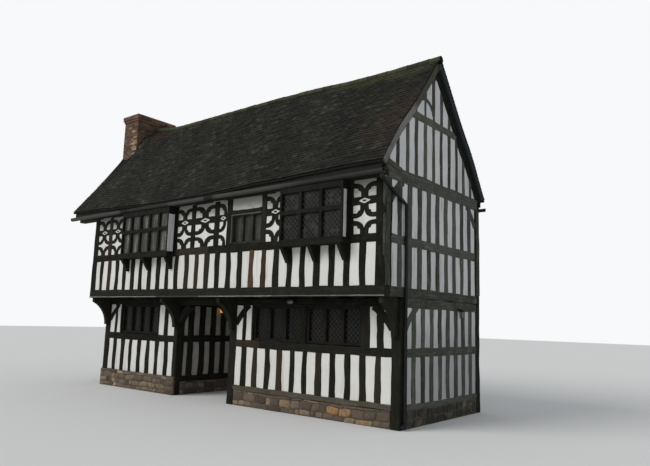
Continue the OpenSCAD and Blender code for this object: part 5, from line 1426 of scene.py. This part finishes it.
def lamp_finish(name, tint, glow, strength):
    """Rippled lamp glass, lit from inside where it has a strength."""
    f = Finish(name)
    ripple = f.noise(f.place(), 40.0, 3.0)
    return f.done({"Base Color": f.mix(ripple.step(0.35, 0.7) * 0.4, tint, glow), "Emission Color": glow,
                   "Emission Strength": strength, "Roughness": 0.15, "Normal": f.bump(ripple, 0.3, 0.003)})


build("lantern_glass", lamp_glass(passage_left + 0.11, 2.15),
      lamp_finish("amber_glass", colour(190, 112, 34), colour(255, 176, 70), 0.9))
clear_glass = lamp_finish("frosted_glass", colour(98, 98, 92), colour(128, 128, 120), 0.0)
build("gable_lamp_glass", lamp_glass(front_end + 0.11, 3.25), clear_glass)
turn, ring = np.meshgrid(np.linspace(0, 2 * math.pi, 25)[:-1], np.linspace(0.02, 1, 5), indexing="ij")
oval_u, oval_v, oval_w = 7.97, 2.59, 0.079
dome = on_wall(front_wall, oval_u + 0.1 * ring * np.cos(turn), oval_v + 0.045 * ring * np.sin(turn),
               oval_w + 0.022 * np.sqrt(1 - ring ** 2))
build("oval_lamp_glass", [(dome.reshape(-1, 3), [closed_grid(np.arange(120).reshape(24, 5))], {})], clear_glass,
      smooth=True)

# Floor and light
# A pale floor with a backdrop of the same tone, a soft key from the front left and a grey sky all round,
# so a colour on the front renders about as it is written and the right gable lies in cooler shade.
floor_finish = Finish("pale_floor")
matt = floor_finish.node("ShaderNodeBsdfDiffuse", {}, {"Color": (0.72, 0.72, 0.71, 1.0)})
floor_finish.node("ShaderNodeOutputMaterial", {}, {"Surface": matt})
floor_mesh = bpy.data.meshes.new("floor")
floor_mesh.from_pydata([(-90, -90, -0.001), (90, -90, -0.001), (90, 90, -0.001), (-90, 90, -0.001)], [],
                       [(0, 1, 2, 3)])
floor_mesh.materials.append(floor_finish.owner)
put("floor", floor_mesh)
key = bpy.data.lights.new("key", "SUN")
key.energy, key.angle, key.color = 1.6, math.radians(35), (1.0, 0.985, 0.96)
put("key", key).rotation_euler = Vector((0.62, 1.0, -0.85)).to_track_quat("-Z", "Y").to_euler()
sky = Finish("studio", "worlds")
seen = sky.node("ShaderNodeBackground", {}, {"Color": (0.93, 0.945, 0.955, 1.0), "Strength": 1.0})
lit = sky.node("ShaderNodeBackground", {}, {"Color": (0.92, 0.96, 1.0, 1.0), "Strength": 0.54})
by_camera = sky.node("ShaderNodeLightPath", {}, {}, "Is Camera Ray")
either = sky.node("ShaderNodeMixShader", {}, {"Fac": by_camera, 1: lit, 2: seen})
sky.node("ShaderNodeOutputWorld", {}, {"Surface": either})
scene.world = sky.owner
scene.view_settings.view_transform = "Standard"
